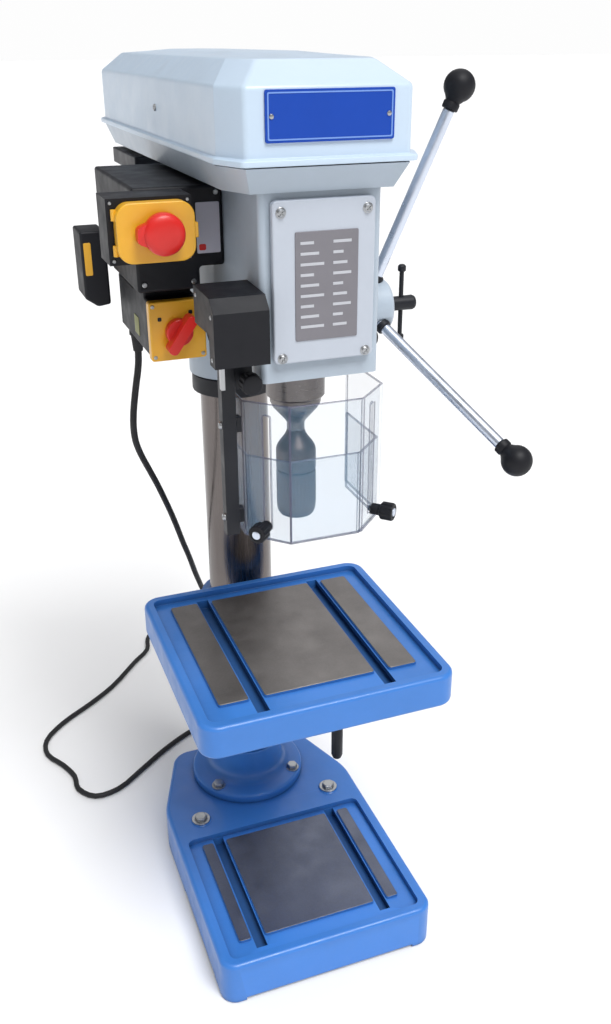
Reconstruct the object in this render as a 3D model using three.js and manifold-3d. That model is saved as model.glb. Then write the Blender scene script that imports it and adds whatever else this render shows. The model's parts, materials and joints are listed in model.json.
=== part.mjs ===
// Bench drill press: a blue cast base and table on a round column, a grey head with a belt drive
// under a hinged cover, a rack-fed quill, and a chuck guard that swings and telescopes.
// Millimetres, +Z up, the operator stands on the -Y side. The machine is laid out about its
// column, and the last section moves it so that the origin lies under the middle of the machine.
import * as THREE from 'three';
import { ConvexGeometry } from 'three/addons/geometries/ConvexGeometry.js';
import { mergeVertices } from 'three/addons/utils/BufferGeometryUtils.js';
import Module from 'manifold-3d';

const wasm = await Module();
wasm.setup();

// Driving dimensions
const GAP = 0.3;
const COLUMN_X = -9;
const COLUMN_Y = 47.2;
const COLUMN_R = 42.5;
const COLUMN_WALL = 5;
const COLUMN_BORE = COLUMN_R + GAP;
const COLUMN_TOP = 905;

const BASE_TOP = 62;
const BASE_HALF = 140;
const BASE_FRONT = -346;
const PAD_HALF = 74;
const SLOT_WIDTH = 14;

const TABLE_TOP = 418;
const TABLE_DEEP = 41;
const TABLE_HALF = 150;
const TABLE_FRONT = -350;
const TABLE_BACK = -56;
const TABLE_PLATE = 388;
const ARM_Z = 344;

const SPINDLE_Y = -229;
const QUILL_R = 31;
const SPINDLE_R = 10;
const QUILL_BOTTOM = 728;
const QUILL_TOP = 905;
const CHUCK_TOP = 690;
const CHUCK_R = 21.5;

const CASTING_HALF = 60;
const CASTING_FRONT = -303;
const CASTING_BOTTOM = 768;
const CASTING_TOP = 942.7;
const BOSS_R = 54.5;

const PITCH_R = 13;
const PINION_TEETH = 16;
const FEED_Y = SPINDLE_Y + 25 + PITCH_R;
const FEED_Z = 804;
const SPOKE_TURNS = [94.5, 214.5, 334.5];

const PAN_BOTTOM = 943;
const PAN_TOP = 965.7;
const LID_BOTTOM = 966;
const LID_SHOULDER = 1030;
const LID_TOP = 1051;
const LID_WALL = 3;
const LID_FRONT = -323;
const LID_BACK = 277;
const HINGE_Y = 290;
const HINGE_Z = 968;

const IDLER_Y = -45;
const MOTOR_Y = 165;
const STEP_Z = 955;
const STEP_HIGH = 17;

const POST_X = -89;
const POST_Y = -280;
const GUARD_BOTTOM = 599;
const GUARD_KNOB_Z = 618;

const CORD_R = 4;
const COIL_R = 46;
const COIL_TOP = 16.6;
const COIL_X = 62;
const COIL_Y = 262;

// Finishes
const FINISHES = {
  blue: ['#4a77be', 0.35, 0],
  grey: ['#b4bcc6', 0.4, 0],
  pale: ['#c3cbd4', 0.4, 0],
  steel: ['#9a9a9c', 0.3, 1],
  chrome: ['#d0d3d8', 0.12, 1],
  alloy: ['#a9acb0', 0.35, 1],
  black: ['#232529', 0.5, 0],
  dark: ['#33363c', 0.45, 0],
  yellow: ['#f5be32', 0.4, 0],
  red: ['#dc3228', 0.35, 0],
  green: ['#2f9a4a', 0.35, 0],
  badge: ['#1446af', 0.3, 0],
  rubber: ['#1c1c1e', 0.8, 0],
  clear: ['#dcebf5', 0.05, 0],
};

// Geometry helpers
function closed(geometry) {
  geometry.deleteAttribute('normal');
  geometry.deleteAttribute('uv');
  const merged = mergeVertices(geometry, 1e-4);
  const corners = merged.index.array;
  const kept = [];
  for (let i = 0; i < corners.length; i += 3) {
    const [a, b, c] = corners.slice(i, i + 3);
    if (a !== b && b !== c && c !== a) {
      kept.push(a, b, c);
    }
  }
  merged.setIndex(kept);
  return merged;
}

function solid(geometry) {
  const bare = closed(geometry);
  return new wasm.Manifold(new wasm.Mesh({
    numProp: 3,
    vertProperties: new Float32Array(bare.attributes.position.array),
    triVerts: new Uint32Array(bare.index.array),
  }));
}

function geometryOf(manifold) {
  const mesh = manifold.getMesh();
  const geometry = new THREE.BufferGeometry();
  geometry.setAttribute('position', new THREE.BufferAttribute(mesh.vertProperties, 3));
  geometry.setIndex(new THREE.BufferAttribute(mesh.triVerts, 1));
  return geometry;
}

function join(...pieces) {
  return geometryOf(pieces.map(solid).reduce((whole, piece) => whole.add(piece)));
}

function cut(body, ...tools) {
  return geometryOf(tools.map(solid).reduce((rest, tool) => rest.subtract(tool), solid(body)));
}

function block(x0, x1, y0, y1, z0, z1) {
  const box = new THREE.BoxGeometry(x1 - x0, y1 - y0, z1 - z0);
  return box.translate((x0 + x1) / 2, (y0 + y1) / 2, (z0 + z1) / 2);
}

function pillar(radius, z0, z1, x = 0, y = 0, sides = 24) {
  const rod = new THREE.CylinderGeometry(radius, radius, z1 - z0, sides);
  return rod.rotateX(Math.PI / 2).translate(x, y, (z0 + z1) / 2);
}

function crossbar(radius, x0, x1, y, z, sides = 20) {
  const rod = new THREE.CylinderGeometry(radius, radius, x1 - x0, sides);
  return rod.rotateZ(-Math.PI / 2).translate((x0 + x1) / 2, y, z);
}

function depthbar(radius, y0, y1, x, z, sides = 24) {
  const rod = new THREE.CylinderGeometry(radius, radius, y1 - y0, sides);
  return rod.translate(x, (y0 + y1) / 2, z);
}

function profileOf(points) {
  return points.map(([radius, along]) => new THREE.Vector2(radius, along));
}

function ring(points) {
  return [...points, points[0]];
}

function turned(points, sides = 24) {
  return new THREE.LatheGeometry(profileOf(points), sides).rotateX(Math.PI / 2);
}

function turnedAcross(points, sides = 24) {
  return new THREE.LatheGeometry(profileOf(points), sides).rotateZ(-Math.PI / 2);
}

function tube(inner, outer, z0, z1, sides = 24) {
  return turned(ring([[inner, z0], [outer, z0], [outer, z1], [inner, z1]]), sides);
}

function slab(shape, z0, z1, curveSegments = 4) {
  const options = { depth: z1 - z0, bevelEnabled: false, curveSegments };
  return new THREE.ExtrudeGeometry(shape, options).translate(0, 0, z0);
}

function polygon(points) {
  return new THREE.Shape(points.map(([x, y]) => new THREE.Vector2(x, y)));
}

function roundedRect(x0, x1, y0, y1, r) {
  const shape = new THREE.Shape();
  shape.absarc(x1 - r, y1 - r, r, 0, Math.PI / 2);
  shape.absarc(x0 + r, y1 - r, r, Math.PI / 2, Math.PI);
  shape.absarc(x0 + r, y0 + r, r, Math.PI, 1.5 * Math.PI);
  shape.absarc(x1 - r, y0 + r, r, 1.5 * Math.PI, 2 * Math.PI);
  return shape;
}

function facingPlate(x0, x1, z0, z1, r, y0, y1) {
  return slab(roundedRect(x0, x1, z0, z1, r), 0, y1 - y0).rotateX(Math.PI / 2).translate(0, y1, 0);
}

function octagon(half, front, back, z) {
  const [side, end] = [15, 38];
  const plan = [
    [-half + side, front], [half - side, front], [half, front + end], [half, back - end],
    [half - side, back], [-half + side, back], [-half, back - end], [-half, front + end],
  ];
  return plan.map(([x, y]) => new THREE.Vector3(x, y, z));
}

function hull(...levels) {
  return new ConvexGeometry(levels.flat());
}

function add(group, name, geometry, finish) {
  const [color, roughness, metalness] = FINISHES[finish];
  const material = new THREE.MeshStandardMaterial({ color, roughness, metalness });
  const mesh = new THREE.Mesh(closed(geometry), material);
  mesh.name = name;
  group.add(mesh);
  return mesh;
}

// A slab's working face: a sunk gutter with three machined pads and two T-slots between them
function workFace(top, front, back, half, padHalf, padFront, padBack, stripOuter) {
  const gutter = slab(roundedRect(-half, half, front, back, 8), top - 8, top + 1);
  const cuts = [gutter];
  const pads = [block(-padHalf, padHalf, padFront, padBack, top - 9, top - 5)];
  for (const side of [-1, 1]) {
    const [a, b] = [side * padHalf, side * (padHalf + SLOT_WIDTH + 4)];
    const strip = [b, side * stripOuter].sort((p, q) => p - q);
    pads.push(block(strip[0], strip[1], padFront, padBack, top - 9, top - 5));
    const slot = [a, b].sort((p, q) => p - q);
    cuts.push(block(slot[0] + 2, slot[1] - 2, padFront - 14, padBack + 9, top - 20, top));
    cuts.push(block(slot[0] - 3, slot[1] + 3, padFront - 14, padBack + 9, top - 20, top - 14));
  }
  return { cuts, pads };
}

const machine = new THREE.Group();

// Base, flange and column
function baseCasting() {
  const plan = new THREE.Shape();
  plan.absarc(-BASE_HALF + 16, BASE_FRONT + 16, 16, Math.PI, 1.5 * Math.PI);
  plan.absarc(BASE_HALF - 16, BASE_FRONT + 16, 16, 1.5 * Math.PI, 2 * Math.PI);
  plan.lineTo(BASE_HALF, -50);
  plan.lineTo(96, 70);
  plan.lineTo(-96, 70);
  plan.lineTo(-BASE_HALF, -50);
  const face = workFace(BASE_TOP, -334, -122, 126, PAD_HALF, -307, -132, 108);
  const rear = polygon([[-125, -92], [125, -92], [120, -46], [84, 58], [-84, 58], [-120, -46]]);
  const plate = cut(
    slab(plan, 0, BASE_TOP),
    face.cuts[0],
    block(-128, 128, BASE_FRONT + 12, -110, -1, 32),
    slab(rear, -1, 45),
    block(-105, 105, BASE_FRONT - 1, BASE_FRONT + 13, -1, 6),
    block(-BASE_HALF - 1, BASE_HALF + 1, -300, -150, -1, 6),
  );
  const bosses = [-97, 97].map((x) => pillar(13, 20, BASE_TOP + 1.5, x, -88, 24));
  const holes = [-97, 97].map((x) => pillar(6.5, -1, BASE_TOP + 2, x, -88, 16));
  return cut(join(plate, ...face.pads, ...bosses), ...face.cuts.slice(1), ...holes);
}

function columnFlange() {
  const foot = BASE_TOP + GAP;
  return turned(ring([
    [COLUMN_BORE, foot], [82, foot], [82, 73], [78, 76], [58, 78], [52, 88], [52, 126],
    [50, 128], [COLUMN_BORE, 128],
  ]), 32);
}

add(machine, 'base_casting', baseCasting(), 'blue');
add(machine, 'column_flange', columnFlange(), 'blue');
const columnTube = tube(COLUMN_R - COLUMN_WALL, COLUMN_R, BASE_TOP + GAP, COLUMN_TOP, 40);
add(machine, 'column', columnTube, 'steel');

// Table, its rest ring, its bracket and the two lock levers
function tableCasting() {
  const plan = roundedRect(-TABLE_HALF, TABLE_HALF, TABLE_FRONT, TABLE_BACK, 16);
  const face = workFace(TABLE_TOP, -338, -68, 138, 66, -305, -85, 119);
  const plate = cut(
    slab(plan, TABLE_TOP - TABLE_DEEP, TABLE_TOP),
    face.cuts[0],
    slab(roundedRect(-138, 138, -338, -68, 6), TABLE_TOP - TABLE_DEEP - 1, TABLE_PLATE, 2),
  );
  return cut(join(plate, ...face.pads), ...face.cuts.slice(1));
}

function bracketCasting() {
  const body = join(
    pillar(54.5, 306, 372, 0, 0, 32),
    depthbar(29, -150, -40, 0, ARM_Z, 24),
    slab(roundedRect(-42, 42, -250, -112, 10), ARM_Z, TABLE_PLATE - GAP),
    block(-20, 42, -225, -175, ARM_Z - 20, ARM_Z + 1),
    block(-13, 13, 48, 78, 312, 366),
  );
  return cut(
    body,
    pillar(COLUMN_BORE, 300, 380, 0, 0, 32),
    block(-2, 2, 40, 80, 300, 380),
    crossbar(5.4, -14, 14, 66, 339, 16),
  );
}

function lockLever(name, group, drop) {
  const shape = join(
    crossbar(9, 42 + GAP, 70, 0, 0, 16),
    pillar(4.5, -72, 2, 64, 0, 12),
    pillar(7.5, -drop, -70, 64, 0, 16),
  );
  return add(group, name, shape, 'black');
}

const rest = tube(COLUMN_BORE, 50, 290, 306 - GAP, 32);
add(machine, 'table_rest_ring', rest, 'steel');
add(machine, 'table_bracket', bracketCasting(), 'blue');
add(machine, 'work_table', tableCasting(), 'blue');
const lockPivot = new THREE.Group();
lockPivot.position.set(0, -200, ARM_Z);
machine.add(lockPivot);
lockLever('table_lock_lever', lockPivot, 132);
const clampScrew = join(
  crossbar(5, -13, 24, 66, 339, 16),
  crossbar(9, 13 + GAP, 34, 66, 339, 16),
  pillar(4.2, 290, 337, 24, 66, 12),
  pillar(6.6, 250, 291, 24, 66, 12),
);
add(machine, 'column_clamp_lever', clampScrew, 'black');

// Head casting and its front plate
function headCasting() {
  const body = join(
    slab(roundedRect(-CASTING_HALF, CASTING_HALF, CASTING_FRONT, -140, 6), CASTING_BOTTOM, CASTING_TOP),
    block(-56, 56, -150, 30, CASTING_BOTTOM, CASTING_TOP),
    pillar(BOSS_R, 692, CASTING_TOP, 0, 0, 32),
    crossbar(24, 55, 74, FEED_Y, FEED_Z, 24),
  );
  return cut(
    body,
    pillar(QUILL_R + 0.4, 760, 950, 0, SPINDLE_Y, 32),
    pillar(COLUMN_BORE, 680, COLUMN_TOP + 1, 0, 0, 32),
    block(-48, 48, -168, -62, 785, 950),
    crossbar(16.2, -14, 14, FEED_Y, FEED_Z, 24),
    crossbar(9.4, -62, 76, FEED_Y, FEED_Z, 24),
    pillar(8 + GAP, 925, 950, 0, IDLER_Y, 20),
  );
}

add(machine, 'head_casting', headCasting(), 'grey');
const plateBack = CASTING_FRONT - GAP;
add(machine, 'head_front_plate', facingPlate(-50, 50, 788, 937, 4, -311, plateBack), 'pale');
add(machine, 'head_support_collar', tube(COLUMN_BORE, 52, 668, 690, 32), 'black');

// Belt case: pan, hinge, lid and its blank name plate
function beltPan() {
  const outer = hull(
    octagon(84, LID_FRONT + 16, LID_BACK - 14, PAN_BOTTOM),
    octagon(92, LID_FRONT, LID_BACK, PAN_TOP),
  );
  const inner = hull(
    octagon(81, LID_FRONT + 19, LID_BACK - 17, PAN_BOTTOM + LID_WALL),
    octagon(89.5, LID_FRONT + LID_WALL, LID_BACK - LID_WALL, PAN_TOP + 1),
  );
  const hinge = join(
    block(-38, 38, 250, 293, 948, 956),
    block(-38, 38, 287, 293, 955, HINGE_Z),
    crossbar(3, -42, 42, HINGE_Y, HINGE_Z, 12),
  );
  return cut(
    join(outer, hinge),
    inner,
    pillar(34, PAN_BOTTOM - 1, PAN_BOTTOM + 5, 0, SPINDLE_Y, 24),
    pillar(11, PAN_BOTTOM - 1, PAN_BOTTOM + 5, 0, IDLER_Y, 16),
    pillar(14, PAN_BOTTOM - 1, PAN_BOTTOM + 5, 0, MOTOR_Y, 16),
  );
}

function beltLid() {
  const outer = join(
    hull(octagon(97, LID_FRONT - 6, LID_BACK + 6, LID_BOTTOM), octagon(97, LID_FRONT - 6, LID_BACK + 6, 972)),
    hull(
      octagon(92, LID_FRONT, LID_BACK, LID_BOTTOM + 1),
      octagon(92, LID_FRONT, LID_BACK, LID_SHOULDER),
      octagon(70, LID_FRONT + 34, LID_BACK - 30, LID_TOP),
    ),
    hull(octagon(52, -240, 200, LID_TOP - 1), octagon(34, -190, 150, LID_TOP + 4)),
  );
  const inner = hull(
    octagon(92 - LID_WALL, LID_FRONT + LID_WALL, LID_BACK - LID_WALL, LID_BOTTOM - 1),
    octagon(92 - LID_WALL, LID_FRONT + LID_WALL, LID_BACK - LID_WALL, LID_SHOULDER - 1),
    octagon(68, LID_FRONT + 37, LID_BACK - 33, LID_TOP - LID_WALL),
  );
  return cut(outer, inner);
}

add(machine, 'belt_pan', beltPan(), 'grey');
add(machine, 'belt_lid', beltLid(), 'grey');
const badgeBack = LID_FRONT - GAP;
add(machine, 'name_plate', facingPlate(-59.5, 59.5, 986, 1028, 3, badgeBack - 2, badgeBack), 'badge');

// Belt drive: three stepped pulleys, two V-belts, the idler shaft and the motor
const SPINDLE_STEPS = [62, 53, 43, 33];
const IDLER_STEPS = [38, 48, 58, 66];
const MOTOR_STEPS = [62, 53, 43, 33];
const FRONT_LEVEL = 2;
const REAR_LEVEL = 1;

function groove(radius, level) {
  const z = STEP_Z + level * STEP_HIGH;
  return [[radius, z], [radius, z + 2.5], [radius - 7, z + 5.5], [radius - 7, z + 11.5], [radius, z + 14.5]];
}

function pulley(steps, below, above) {
  return turned([...below, ...steps.flatMap(groove), ...above], 20);
}

function beltLoop(yA, rA, yB, rB) {
  const lean = Math.acos((rA - rB) / (yB - yA));
  const points = [];
  const arcs = [[yA, rA, lean, 2 * Math.PI - lean], [yB, rB, -lean, lean]];
  for (const [y, radius, from, to] of arcs) {
    for (let i = 0; i <= 12; i += 1) {
      const turn = from + ((to - from) * i) / 12;
      points.push([-radius * Math.sin(turn), y + radius * Math.cos(turn)]);
    }
  }
  return points;
}

function belt(yA, rA, yB, rB, level) {
  const loop = polygon(beltLoop(yA, rA - 0.5, yB, rB - 0.5));
  const inner = polygon(beltLoop(yA, rA - 6.3, yB, rB - 6.3));
  loop.holes.push(inner);
  const middle = STEP_Z + level * STEP_HIGH + STEP_HIGH / 2;
  return slab(loop, middle - 2.8, middle + 2.8);
}

const stepTop = STEP_Z + 4 * STEP_HIGH;
const spindleBore = SPINDLE_R + 0.4;
const spindlePulley = pulley(
  SPINDLE_STEPS,
  [[spindleBore, 921], [20, 921], [20, STEP_Z]],
  [[spindleBore, stepTop], [spindleBore, 921]],
);
const idlerTop = [[8, stepTop], [8, stepTop + 8], [0, stepTop + 8]];
const idlerPulley = pulley(IDLER_STEPS, [[0, 925.5], [8, 925.5], [8, STEP_Z]], idlerTop);
const motorPulley = pulley(MOTOR_STEPS, [[0, 900], [9, 900], [9, STEP_Z]], [[0, stepTop]]);
const drive = [
  ['spindle_pulley', spindlePulley, SPINDLE_Y],
  ['idler_pulley', idlerPulley, IDLER_Y],
  ['motor_pulley', motorPulley, MOTOR_Y],
];
for (const [name, shape, y] of drive) {
  add(machine, name, shape, 'alloy').position.y = y;
}
const frontBelt = belt(SPINDLE_Y, SPINDLE_STEPS[FRONT_LEVEL], IDLER_Y, IDLER_STEPS[FRONT_LEVEL], FRONT_LEVEL);
add(machine, 'front_belt', frontBelt, 'rubber');
const rearBelt = belt(IDLER_Y, IDLER_STEPS[REAR_LEVEL], MOTOR_Y, MOTOR_STEPS[REAR_LEVEL], REAR_LEVEL);
add(machine, 'rear_belt', rearBelt, 'rubber');
const motorPlate = cut(
  join(block(-86, 86, 97, 236, 918, 937), block(-30, 30, 55, 98, 918, 937)),
  pillar(12, 917, 938, 0, MOTOR_Y, 20),
);
add(machine, 'motor_plate', motorPlate, 'black');
const motorBody = turned([
  [0, 770], [48, 770], [58, 778], [66, 790], [66, 905], [60, 918 - GAP],
  [9 + GAP, 918 - GAP], [9 + GAP, 896], [0, 896],
]);
add(machine, 'motor_body', motorBody, 'dark').position.y = MOTOR_Y;

// Quill with its rack, spindle, bearings and chuck, all on the spindle axis
const quillGroup = new THREE.Group();
quillGroup.position.set(0, SPINDLE_Y, 0);
machine.add(quillGroup);

const PITCH = (2 * Math.PI * PITCH_R) / PINION_TEETH;
const ADDENDUM = 1.3;
const DEDENDUM = 1.7;
const FLANK = Math.tan(THREE.MathUtils.degToRad(20));
const BACKLASH = 0.4;

function quillSleeve() {
  const body = turned(ring([
    [SPINDLE_R + 0.4, QUILL_BOTTOM], [QUILL_R - 2, QUILL_BOTTOM], [QUILL_R, QUILL_BOTTOM + 2],
    [QUILL_R, QUILL_TOP], [SPINDLE_R + 0.4, QUILL_TOP],
  ]));
  const rackLine = 25;
  const tip = rackLine + ADDENDUM;
  const tools = [block(-40, 40, tip, 40, 786, QUILL_TOP + 1)];
  const atTip = PITCH / 4 + ADDENDUM * FLANK + BACKLASH / 2;
  const atRoot = PITCH / 4 - DEDENDUM * FLANK + BACKLASH / 2;
  const space = polygon([
    [tip + 0.5, -atTip - 0.5 * FLANK], [tip + 0.5, atTip + 0.5 * FLANK],
    [rackLine - DEDENDUM, atRoot], [rackLine - DEDENDUM, -atRoot],
  ]);
  for (let i = -2; i <= 18; i += 1) {
    const tooth = slab(space, -40, 40).rotateX(Math.PI / 2).rotateZ(Math.PI / 2);
    tools.push(tooth.translate(0, 0, FEED_Z + i * PITCH));
  }
  return cut(body, ...tools);
}

const spindleShape = turned([
  [0, CHUCK_TOP + GAP], [9.5, CHUCK_TOP + GAP], [9.5, 698], [27, 721], [27, QUILL_BOTTOM - GAP],
  [SPINDLE_R, QUILL_BOTTOM - GAP], [SPINDLE_R, 1019], [9, 1020], [0, 1020],
]);
add(quillGroup, 'quill', quillSleeve(), 'steel');
add(quillGroup, 'spindle', spindleShape, 'steel');

const JAW_SLANT = Math.atan(6 / 42);
const JAW_TURNS = [30, 150, 270];

function jawRod(radius, from, to) {
  const rod = new THREE.CylinderGeometry(radius, radius, to - from, 12).translate(0, (from + to) / 2, 0);
  return rod.rotateX(Math.PI / 2).rotateX(-JAW_SLANT).translate(0, 5, 598);
}

function chuckBody() {
  const body = turned([
    [0, 596], [16, 596], [16, 645], [CHUCK_R, 645], [CHUCK_R, 670], [19.5, 675], [9.5, CHUCK_TOP],
    [0, CHUCK_TOP],
  ]);
  const holes = JAW_TURNS.map((turn) => jawRod(3.4, -10, 42).rotateZ(THREE.MathUtils.degToRad(turn)));
  return cut(body, pillar(6, 590, 640, 0, 0, 16), ...holes);
}

add(quillGroup, 'chuck_body', chuckBody(), 'steel');
const sleeveShape = turned(ring([
  [16 + GAP, 593], [18, 593], [20.5, 598], [CHUCK_R, 606], [CHUCK_R, 645 - GAP], [16 + GAP, 645 - GAP],
]));
add(quillGroup, 'chuck_sleeve', sleeveShape, 'steel');
JAW_TURNS.forEach((turn, i) => {
  const jaw = add(quillGroup, `chuck_jaw_${i + 1}`, jawRod(3, -7, 31), 'steel');
  jaw.rotation.z = THREE.MathUtils.degToRad(turn);
});

// Feed: pinion shaft, hub, depth dial, three levers, stop screw with its sliding bar, return spring
const feed = new THREE.Group();
feed.position.set(0, FEED_Y, FEED_Z);
machine.add(feed);

const LEVER_X = 101;
const LEVER_START = 20;
const KNOB_X = 185;
const KNOB_RADIUS_OUT = 219;
const LEVER_TILT = Math.atan2(KNOB_X - LEVER_X, KNOB_RADIUS_OUT - LEVER_START);
const LEVER_LENGTH = Math.hypot(KNOB_X - LEVER_X, KNOB_RADIUS_OUT - LEVER_START);
const KNOB_BACK = 24;

function pinionShaft() {
  const points = [];
  const atTip = PITCH / 4 - ADDENDUM * FLANK - BACKLASH / 2;
  const atRoot = PITCH / 4 + DEDENDUM * FLANK - BACKLASH / 2;
  for (let i = 0; i < PINION_TEETH; i += 1) {
    const turn = (2 * Math.PI * i) / PINION_TEETH;
    const corners = [[PITCH_R - DEDENDUM, -atRoot], [PITCH_R + ADDENDUM, -atTip],
      [PITCH_R + ADDENDUM, atTip], [PITCH_R - DEDENDUM, atRoot]];
    for (const [out, side] of corners) {
      points.push([
        out * Math.cos(turn) - side * Math.sin(turn),
        out * Math.sin(turn) + side * Math.cos(turn),
      ]);
    }
  }
  const teeth = slab(polygon(points), -12, 12).rotateY(Math.PI / 2);
  return join(teeth, crossbar(9, -68, 103, 0, 0, 24));
}

function leverHub() {
  const body = turnedAcross(ring([
    [9.4, 92], [26, 92], [28, 94], [28, 115], [25, 118], [9.4, 118],
  ]));
  const holes = SPOKE_TURNS.map((turn) => {
    const hole = new THREE.CylinderGeometry(6.4, 6.4, 34, 16).translate(0, 15, 0);
    hole.rotateZ(-LEVER_TILT).translate(LEVER_X, LEVER_START, 0);
    return hole.rotateX(THREE.MathUtils.degToRad(turn));
  });
  return cut(body, ...holes);
}

function knobProfile() {
  const points = [[0, 0], [8.5, 0], [9.5, 5], [12.5, 9]];
  for (let i = 0; i <= 4; i += 1) {
    const turn = -0.55 + (i * (Math.PI / 2 + 0.2)) / 4;
    points.push([16 * Math.cos(turn), KNOB_BACK + 16 * Math.sin(turn)]);
  }
  points.push([0, points.at(-1)[1]]);
  return profileOf(points);
}

add(feed, 'feed_pinion', pinionShaft(), 'steel');
add(feed, 'lever_hub', leverHub(), 'grey');
const dialShape = turnedAcross(ring([[9.4, 75], [29, 75], [29, 88], [27, 91.5], [9.4, 91.5]]));
add(feed, 'depth_dial', dialShape, 'alloy');
SPOKE_TURNS.forEach((turn, i) => {
  const spoke = new THREE.Group();
  spoke.rotation.x = THREE.MathUtils.degToRad(turn);
  feed.add(spoke);
  const arm = new THREE.Group();
  arm.position.set(LEVER_X, LEVER_START, 0);
  arm.rotation.z = -LEVER_TILT;
  spoke.add(arm);
  const rodEnd = LEVER_LENGTH - KNOB_BACK - GAP;
  const rod = new THREE.CylinderGeometry(6, 6, rodEnd, 16).translate(0, rodEnd / 2, 0);
  add(arm, `feed_lever_${i + 1}`, rod, 'chrome');
  const knob = new THREE.LatheGeometry(knobProfile(), 16).translate(0, LEVER_LENGTH - KNOB_BACK, 0);
  add(arm, `feed_knob_${i + 1}`, knob, 'black');
});
const BAR_X = 137;
const stopScrew = cut(
  turnedAcross([[0, 104], [5, 104], [5, 118 + GAP], [7.5, 118 + GAP], [8, 150], [6.5, 153], [0, 153]], 24),
  pillar(2.8, -12, 12, BAR_X, 0, 12),
);
add(feed, 'stop_screw', stopScrew, 'black');
const barEnd = [[4.5, 35], [4.5, 40], [2.5, 42], [0, 42]];
const barProfile = [...barEnd.map(([r, z]) => [r, -z]).reverse(), [2.5, -34], [2.5, 34], ...barEnd];
add(feed, 'tommy_bar', turned(barProfile, 12), 'black').position.x = BAR_X;
const springCap = cut(crossbar(27, -78, -CASTING_HALF - GAP, 0, 0, 24), crossbar(9.6, -72, -50, 0, 0, 16));
add(feed, 'return_spring_cap', springCap, 'black');

// Electrics on the left of the head
function buttonAt(x, z, profile, sides = 24) {
  return new THREE.LatheGeometry(profileOf(profile), sides).rotateX(Math.PI).translate(x, 0, z);
}

const PANEL_LEFT = -150;
const PANEL_RIGHT = -CASTING_HALF - GAP;
const PANEL_FRONT = -190;
const ESTOP_FRONT = -235;
const ESTOP_X = -140;
const ESTOP_Z = 906;
const SWITCH_X = -112;
const SWITCH_Z = 797;

const panel = join(
  block(PANEL_LEFT, PANEL_RIGHT, PANEL_FRONT, 10, 860, 938),
  block(PANEL_LEFT, -86, PANEL_FRONT, -60, 838, 861),
);
add(machine, 'control_box', panel, 'black');
const junction = hull([
  [-179, 800], [-179, 874], [PANEL_LEFT - GAP, 874], [PANEL_LEFT - GAP, 792], [-165, 790],
].flatMap(([x, z]) => [new THREE.Vector3(x, -30, z), new THREE.Vector3(x, 20, z)]));
add(machine, 'junction_box', junction, 'dark');

const estopHousing = cut(
  block(-183, -103, ESTOP_FRONT, PANEL_FRONT - GAP, 876, 936),
  depthbar(7 + GAP, ESTOP_FRONT - 1, ESTOP_FRONT + 16, -118, ESTOP_Z, 16),
);
add(machine, 'estop_housing', estopHousing, 'black');
const flapShell = cut(
  facingPlate(-177, -104, 879, 933, 14, ESTOP_FRONT - 15, ESTOP_FRONT - GAP),
  facingPlate(-174, -107, 882, 930, 11, ESTOP_FRONT - 12, ESTOP_FRONT + 1),
  depthbar(8 + GAP, ESTOP_FRONT - 20, ESTOP_FRONT, ESTOP_X, ESTOP_Z, 20),
);
add(machine, 'estop_flap', flapShell, 'yellow');
const mushroom = buttonAt(ESTOP_X, ESTOP_Z, [
  [0, -ESTOP_FRONT + 5], [8, -ESTOP_FRONT + 5], [8, -ESTOP_FRONT + 19], [18.5, -ESTOP_FRONT + 19],
  [20, -ESTOP_FRONT + 22], [20, -ESTOP_FRONT + 30], [17, -ESTOP_FRONT + 33], [0, -ESTOP_FRONT + 34.5],
]);
add(machine, 'estop_button', mushroom, 'red');
const startButton = buttonAt(-118, ESTOP_Z, [
  [0, -ESTOP_FRONT - 10], [7, -ESTOP_FRONT - 10], [7, -ESTOP_FRONT + 6], [6, -ESTOP_FRONT + 7],
  [0, -ESTOP_FRONT + 7],
], 16);
add(machine, 'start_button', startButton, 'green');

const switchBox = join(
  block(-139, -85, PANEL_FRONT + 12, -25, 768, 827),
  block(-139, -89, -160, -110, 826, 838 - GAP),
);
add(machine, 'rotary_switch_box', switchBox, 'black');
const switchFront = PANEL_FRONT + 12 - GAP;
add(machine, 'rotary_switch_plate', facingPlate(-141, -83, 767, 828, 3, PANEL_FRONT, switchFront), 'yellow');
const knobFront = -PANEL_FRONT + GAP;
const GRIP_TURN = -THREE.MathUtils.degToRad(54);
const rotaryGrip = join(
  buttonAt(0, 0, [[0, knobFront], [14, knobFront], [14, knobFront + 8], [13, knobFront + 9],
    [0, knobFront + 9]], 20),
  facingPlate(-22, 22, -5.5, 5.5, 5, PANEL_FRONT - 22, PANEL_FRONT - 6).rotateY(GRIP_TURN),
);
add(machine, 'rotary_knob', rotaryGrip, 'red').position.set(SWITCH_X, 0, SWITCH_Z);

// Chuck guard: interlock box, post, two telescoping clear shields and their knobs
const guardBox = cut(
  hull([
    [-330, 796], [-330, 846], [-318, 858], [-264, 860], [-264, 796],
  ].flatMap(([y, z]) => [new THREE.Vector3(-113, y, z), new THREE.Vector3(PANEL_RIGHT, y, z)])),
  pillar(6 + GAP, 790, 830, POST_X, POST_Y, 16),
  block(-114, -99, -313, -263, 795, 824),
);
add(machine, 'guard_switch_box', guardBox, 'black');
const guardPost = join(
  block(POST_X - 7, POST_X + 7, POST_Y - 7, POST_Y + 7, 606, 796 - GAP),
  pillar(6, 790, 828, POST_X, POST_Y, 16),
  block(POST_X + 6, -76.4, POST_Y - 5, POST_Y + 5, 618, 634),
  block(POST_X + 6, -76.4, POST_Y - 5, POST_Y + 5, 716, 732),
  block(POST_X + 6, -64, POST_Y - 5, POST_Y + 5, 760, 784),
);
add(machine, 'guard_post', guardPost, 'black');

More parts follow.
